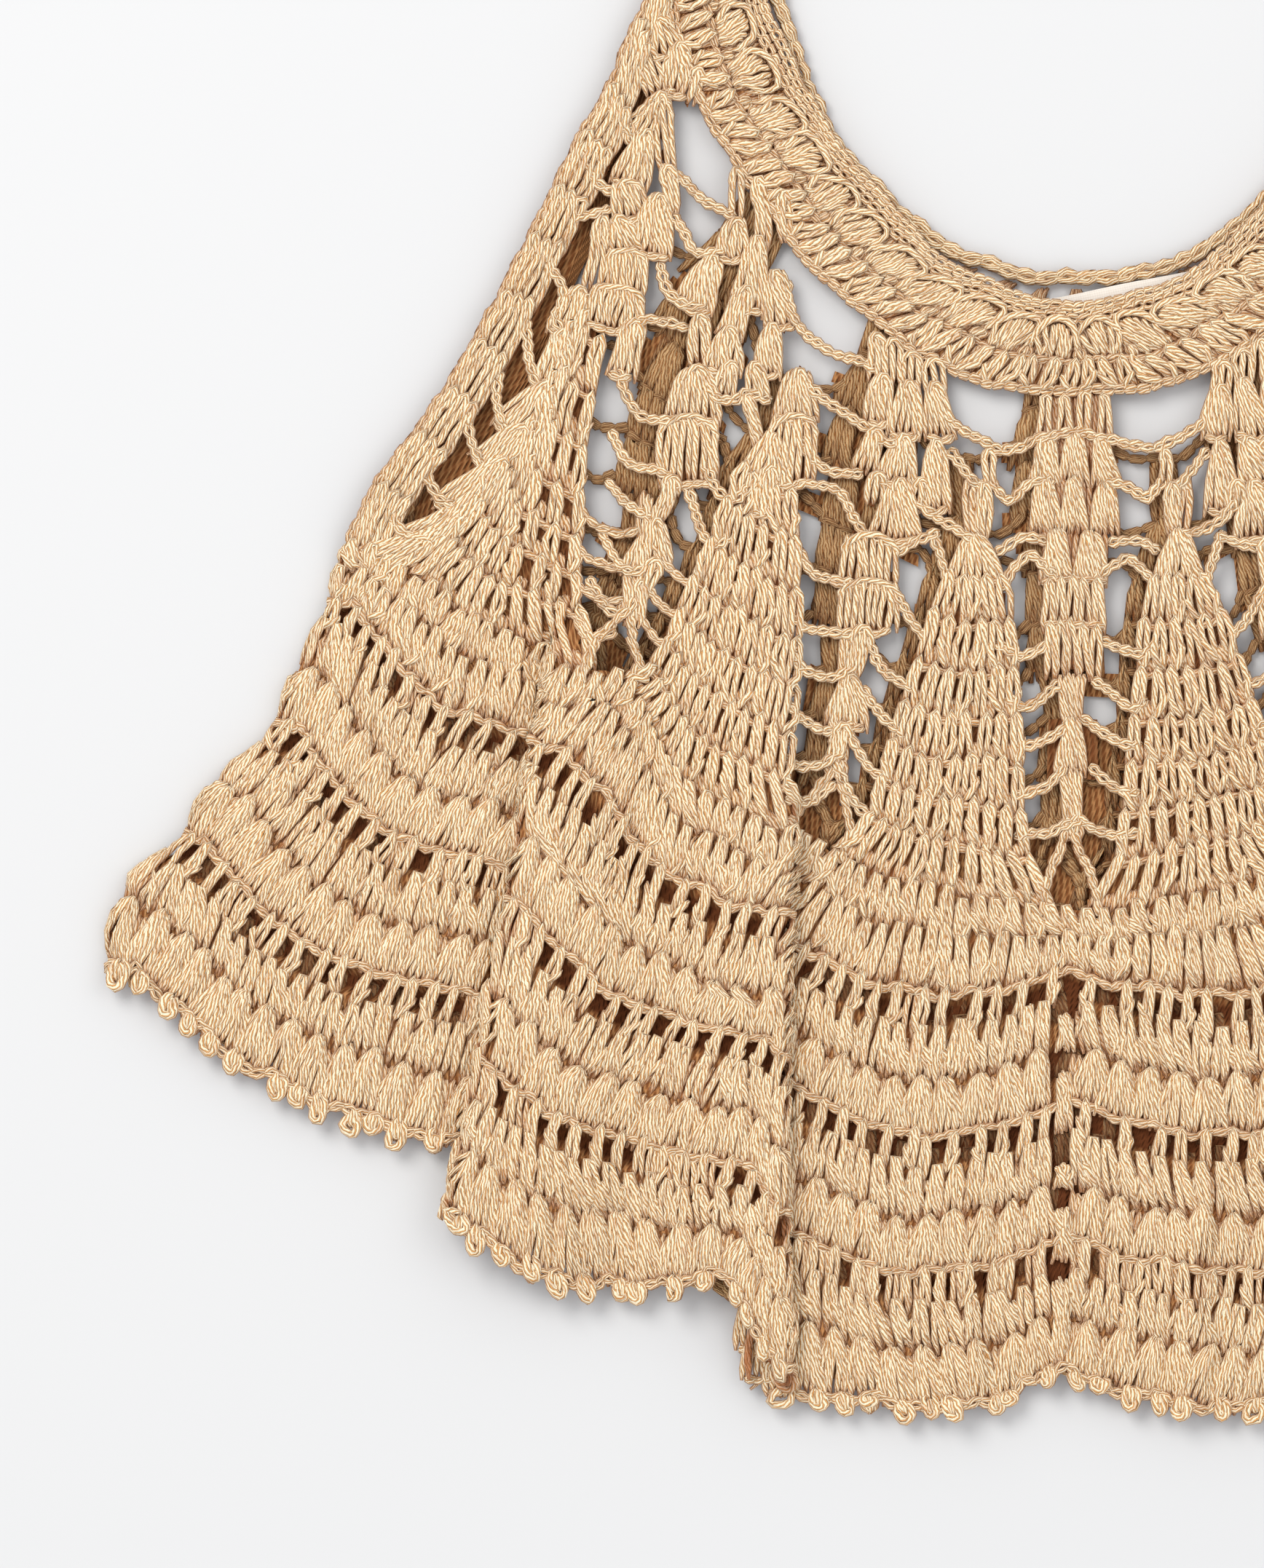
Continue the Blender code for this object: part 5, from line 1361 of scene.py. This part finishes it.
def lining_of_body(cloth, height, shaded):
    """Points in mm, which cells are closed, and how much painted shade each point gets."""
    levels = cloth.first + cloth.step * np.arange(len(cloth.points))
    beside_seam = np.abs(np.arange(2 * cloth.half + 1) - cloth.half) < 6
    open_rows = within(levels, MESH, 0.15)[:, None] | within(levels, SEAM, -0.1)[:, None] & beside_seam
    open_rows &= bool(cloth.ridges)
    stride = 2 if cloth.ridges else 4
    p = (cloth.points + cloth.up * (height - SINK * open_rows)[..., None])[:, ::stride]
    keep = closed_cells(cloth).reshape(p.shape[0] - 1, p.shape[1] - 1, stride).mean(2) >= 0.5
    # Painted shade: strong under the yoke, light in the skirt, full under the mesh rounds and beside the
    # centre seam; on the back it follows the cover grid.
    dark = np.maximum(np.interp(levels, (10, 12), (0.8, 0.2))[:, None], open_rows[:, ::stride])
    return p, keep, 0.7 * covered(p) if shaded else dark


def lining_of_band(cloth, height, shaded):
    p = (cloth.points + cloth.up * height)[9 if shaded else 3 : 22 : 2, ::2]
    keep = np.ones((p.shape[0] - 1, p.shape[1] - 1), bool)
    # The band's lining gets painted shade from the cover grid on the back, none on the front.
    return p, keep, 0.7 * covered(p) if shaded else np.zeros(p.shape[:2])


def lining(name, body, band, height, shaded):
    points, faces, marks, darks, base = [], [], [], [], 0
    for p, keep, dark in (lining_of_body(body, height, shaded), lining_of_band(band, height, shaded)):
        run = run_along(p)
        run, down = run - run[:, p.shape[1] // 2, None], np.arange(len(p))[:, None] * 3.0 + 0 * run
        points.append(p.reshape(-1, 3) / 1000)
        marks.append(np.stack([run, down], -1).reshape(-1, 2))
        darks.append(dark.ravel())
        faces.append(grid_faces(p.shape, keep, base))
        base += p.shape[0] * p.shape[1]
    points, faces, marks, darks = (np.concatenate(v) for v in (points, faces, marks, darks))
    used, faces = np.unique(faces, return_inverse=True)
    faces = faces.reshape(-1, 4)
    mesh = bpy.data.meshes.new(name)
    mesh.from_pydata(points[used], [], faces)
    marks = marks[used][faces.ravel()].astype(np.float32)
    mesh.uv_layers.new(name="cloth").data.foreach_set("uv", marks.ravel())
    mark(mesh, "shade", darks[used])
    mesh.polygons.foreach_set("use_smooth", np.ones(len(mesh.polygons), bool))
    area = sum(p.area for p in mesh.polygons)
    print(name, len(mesh.polygons) * 2, "triangles,", round(area, 4), "square metres")
    return new_object(name, mesh, lining_paint), area


lining_front, area_front = lining("lining_front", front, front_band, -0.35, False)
lining_back, area_back = lining("lining_back", back, back_band, 0.0, True)

# %% [markdown]
# ## Work the top
# Now the stitches are worked, piece by piece, front first. The back is only seen through the lace and
# from behind, so its strands are fewer and thicker.


# %% The front and the back
def worked(name, cloth, seed, paint, *makers, **kind):
    """One piece of yarn: each maker works its stitches, in this order."""
    yarn = Yarn(name, cloth, seed, **kind)
    for make in makers:
        make(yarn)
    return yarn, paint


front_yarns = [
    worked("yoke_front", front, 11, yarn_front, yoke),
    worked("lace_front", front, 16, yarn_front, front_lace, armhole_columns),
    worked("skirt_front_upper", front, 12, yarn_front, lambda yarn: skirt(yarn, ROUNDS[:5])),
    worked("skirt_front_lower", front, 13, yarn_front, lambda yarn: skirt(yarn, ROUNDS[5:])),
    worked("hem_picots_front", front, 14, yarn_front, picots),
    worked("neckband_stitches_front", front_band, 15, yarn_front, neckband)]
front_pieces = [yarn.build(paint) for yarn, paint in front_yarns]
back_yarns = [
    worked("yoke_back", back, 21, yarn_back_shaded, yoke, armhole_columns, fine=False, shaded=True),
    worked("skirt_back", back, 22, yarn_back_shaded, lambda yarn: skirt(yarn, ROUNDS), fine=False, shaded=True),
    worked("hem_picots_back", back, 23, yarn_back_shaded, picots, fine=False),
    worked("neckband_stitches_back", back_band, 24, yarn_neck, neckband, fine=False)]
back_pieces = [yarn.build(paint) for yarn, paint in back_yarns]

# %% [markdown]
# ## The neck label
# A soft woven tape is sewn inside the back of the neck. It's left bare. It lies a little wavy, so it is a
# thin grid with a weave in its material.

# %% Label
LABEL_WIDE, LABEL_TALL, LABEL_THICK = 54.0, 14.0, 0.5  # mm
LABEL_X, LABEL_Y, LABEL_TILT = 1508.0, 397.0, np.radians(11.3)  # chart place of its upper edge's middle
LABEL_HEIGHT, THREADS = 3.75, (9000.0, 1800.0)  # mm over the floor; how fine and how slanted the weave is


def woven_tape():
    paint = Paint("woven_tape")
    at = paint.object_place()
    x, y = paint.parts(at)
    close, slant = THREADS
    weave = ((x * close + y * slant).sine() + (y * close - x * slant).sine()) * 0.25 + 0.5
    colour = paint.blend(weave * 0.35 + paint.noise(at, 500.0) * 0.35, rgb(244, 238, 228), rgb(214, 200, 182))
    return paint.finish(Base_Color=colour, Roughness=0.8, Normal=paint.bump(weave, 0.35, 0.00008),
                        Sheen_Weight=0.1)


def make_label():
    gx, gy = np.meshgrid(np.linspace(-0.5, 0.5, 55), np.linspace(0, -1, 15))
    x, y = gx * LABEL_WIDE, gy * LABEL_TALL + 0.1 * np.sin(gx * 11)
    z = LABEL_HEIGHT + (0.16 * np.sin(gx * 9) + 0.1 * np.cos(gy * 5 + gx * 4))
    c, s = np.cos(LABEL_TILT), np.sin(LABEL_TILT)
    middle = chart_mm(LABEL_X, LABEL_Y)
    points = np.stack([middle[0] + x * c - y * s, middle[1] + x * s + y * c, z], -1) / 1000
    mesh = bpy.data.meshes.new("label_tape")
    mesh.from_pydata(points.reshape(-1, 3), [], grid_faces(gx.shape, np.ones((14, 54), bool)))
    made = new_object("label_tape", mesh, woven_tape())
    thick = made.modifiers.new("tape", "SOLIDIFY")
    thick.thickness, thick.offset = LABEL_THICK / 1000, 0.0
    return made


label = make_label()
print("label made")

# %% [markdown]
# ## What each piece is
# The linings and the label stand for the solids of the model, and every piece rides on the one body. The
# flat area of each lining, grown by its open lace, is set against the worked size of its cloth.

for piece in (*front_pieces, *back_pieces, lining_front, lining_back, label):
    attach(piece, "root")
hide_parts("front_body", "hem_edging_front", "neckband_front")
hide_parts("back_body", "hem_edging_back", "neckband_back")
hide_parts("neck_label")

BAND_AND_STRAP = 75.0  # mm that the neckband and half a strap add to the length
LACE_SHARE = 1.12  # how much more cloth than lining there is, where the lace is open


def worked_size(body):
    """Width along the last round and length from neck to hem, in metres."""
    across = run_along(body.at(24.0, np.linspace(-LAST, LAST, 2000))[0])[-1]
    down = run_along(body.at(np.linspace(0, 25, 500), 0.5)[0])[-1]
    return across / 1000, (down + BAND_AND_STRAP) / 1000


size_front, size_back = worked_size(front), worked_size(back)
min(area_front * LACE_SHARE, size_front[0] * size_front[1])
min(area_back * LACE_SHARE, size_back[0] * size_back[1])
print("worked sizes, m:", [round(v, 3) for v in (*size_front, *size_back)])

# %% [markdown]
# ## Floor, light and camera
# The top lies on a pale floor under a big soft light from the upper left, with the rest of the room white,
# so shadows are short and soft. The camera looks straight down through a long lens.

# %% Stage
bpy.ops.mesh.primitive_plane_add(size=6.0, location=(0, 0, -0.0002))
floor = bpy.context.object
floor.name = "floor"
floor.data.materials.append(Paint("pale_floor").finish(
    Base_Color=(0.655, 0.655, 0.655, 1), Roughness=0.9, Specular_IOR_Level=0.1))

bpy.context.scene.view_settings.view_transform = "Standard"
sky = bpy.data.worlds.new("room")
bpy.context.scene.world = sky
sky.use_nodes = True
colour, strength = sky.node_tree.nodes["Background"].inputs[:2]
colour.default_value, strength.default_value = (0.97, 0.98, 1.0, 1), 0.94


def lamp(name, place, size, power, colour=(1, 1, 1)):
    """A round soft lamp that looks at the middle. place and size: metres; power: watts."""
    data = bpy.data.lights.new(name, "AREA")
    data.shape, data.size, data.energy, data.color = "DISK", size, power, colour
    made = bpy.data.objects.new(name, data)
    bpy.context.scene.collection.objects.link(made)
    made.location = place
    made.rotation_euler = (-Vector(place)).to_track_quat("-Z", "Y").to_euler()


lamp("key", (-1.2, 1.2, 2.3), 1.5, 41.0, (1.0, 0.985, 0.96))
lamp("fill", (1.6, 0.4, 2.4), 2.0, 10.0)

# %% Camera
WIDE, TALL = 1736, 2154  # chart units of floor that the picture shows
AWAY = 2.6  # metres from the camera to the cloth
view = bpy.data.cameras.new("camera")
camera = bpy.data.objects.new("camera", view)
bpy.context.scene.collection.objects.link(camera)
camera.location = (*(chart_mm(WIDE / 2, TALL / 2) / 1000), AWAY + FRONT_MID / 1000)
view.sensor_width, view.lens = 36.0, 36.0 * AWAY / (TALL * UNIT / 1000)
view.clip_start, view.clip_end = 0.1, 20.0
bpy.context.scene.camera = camera
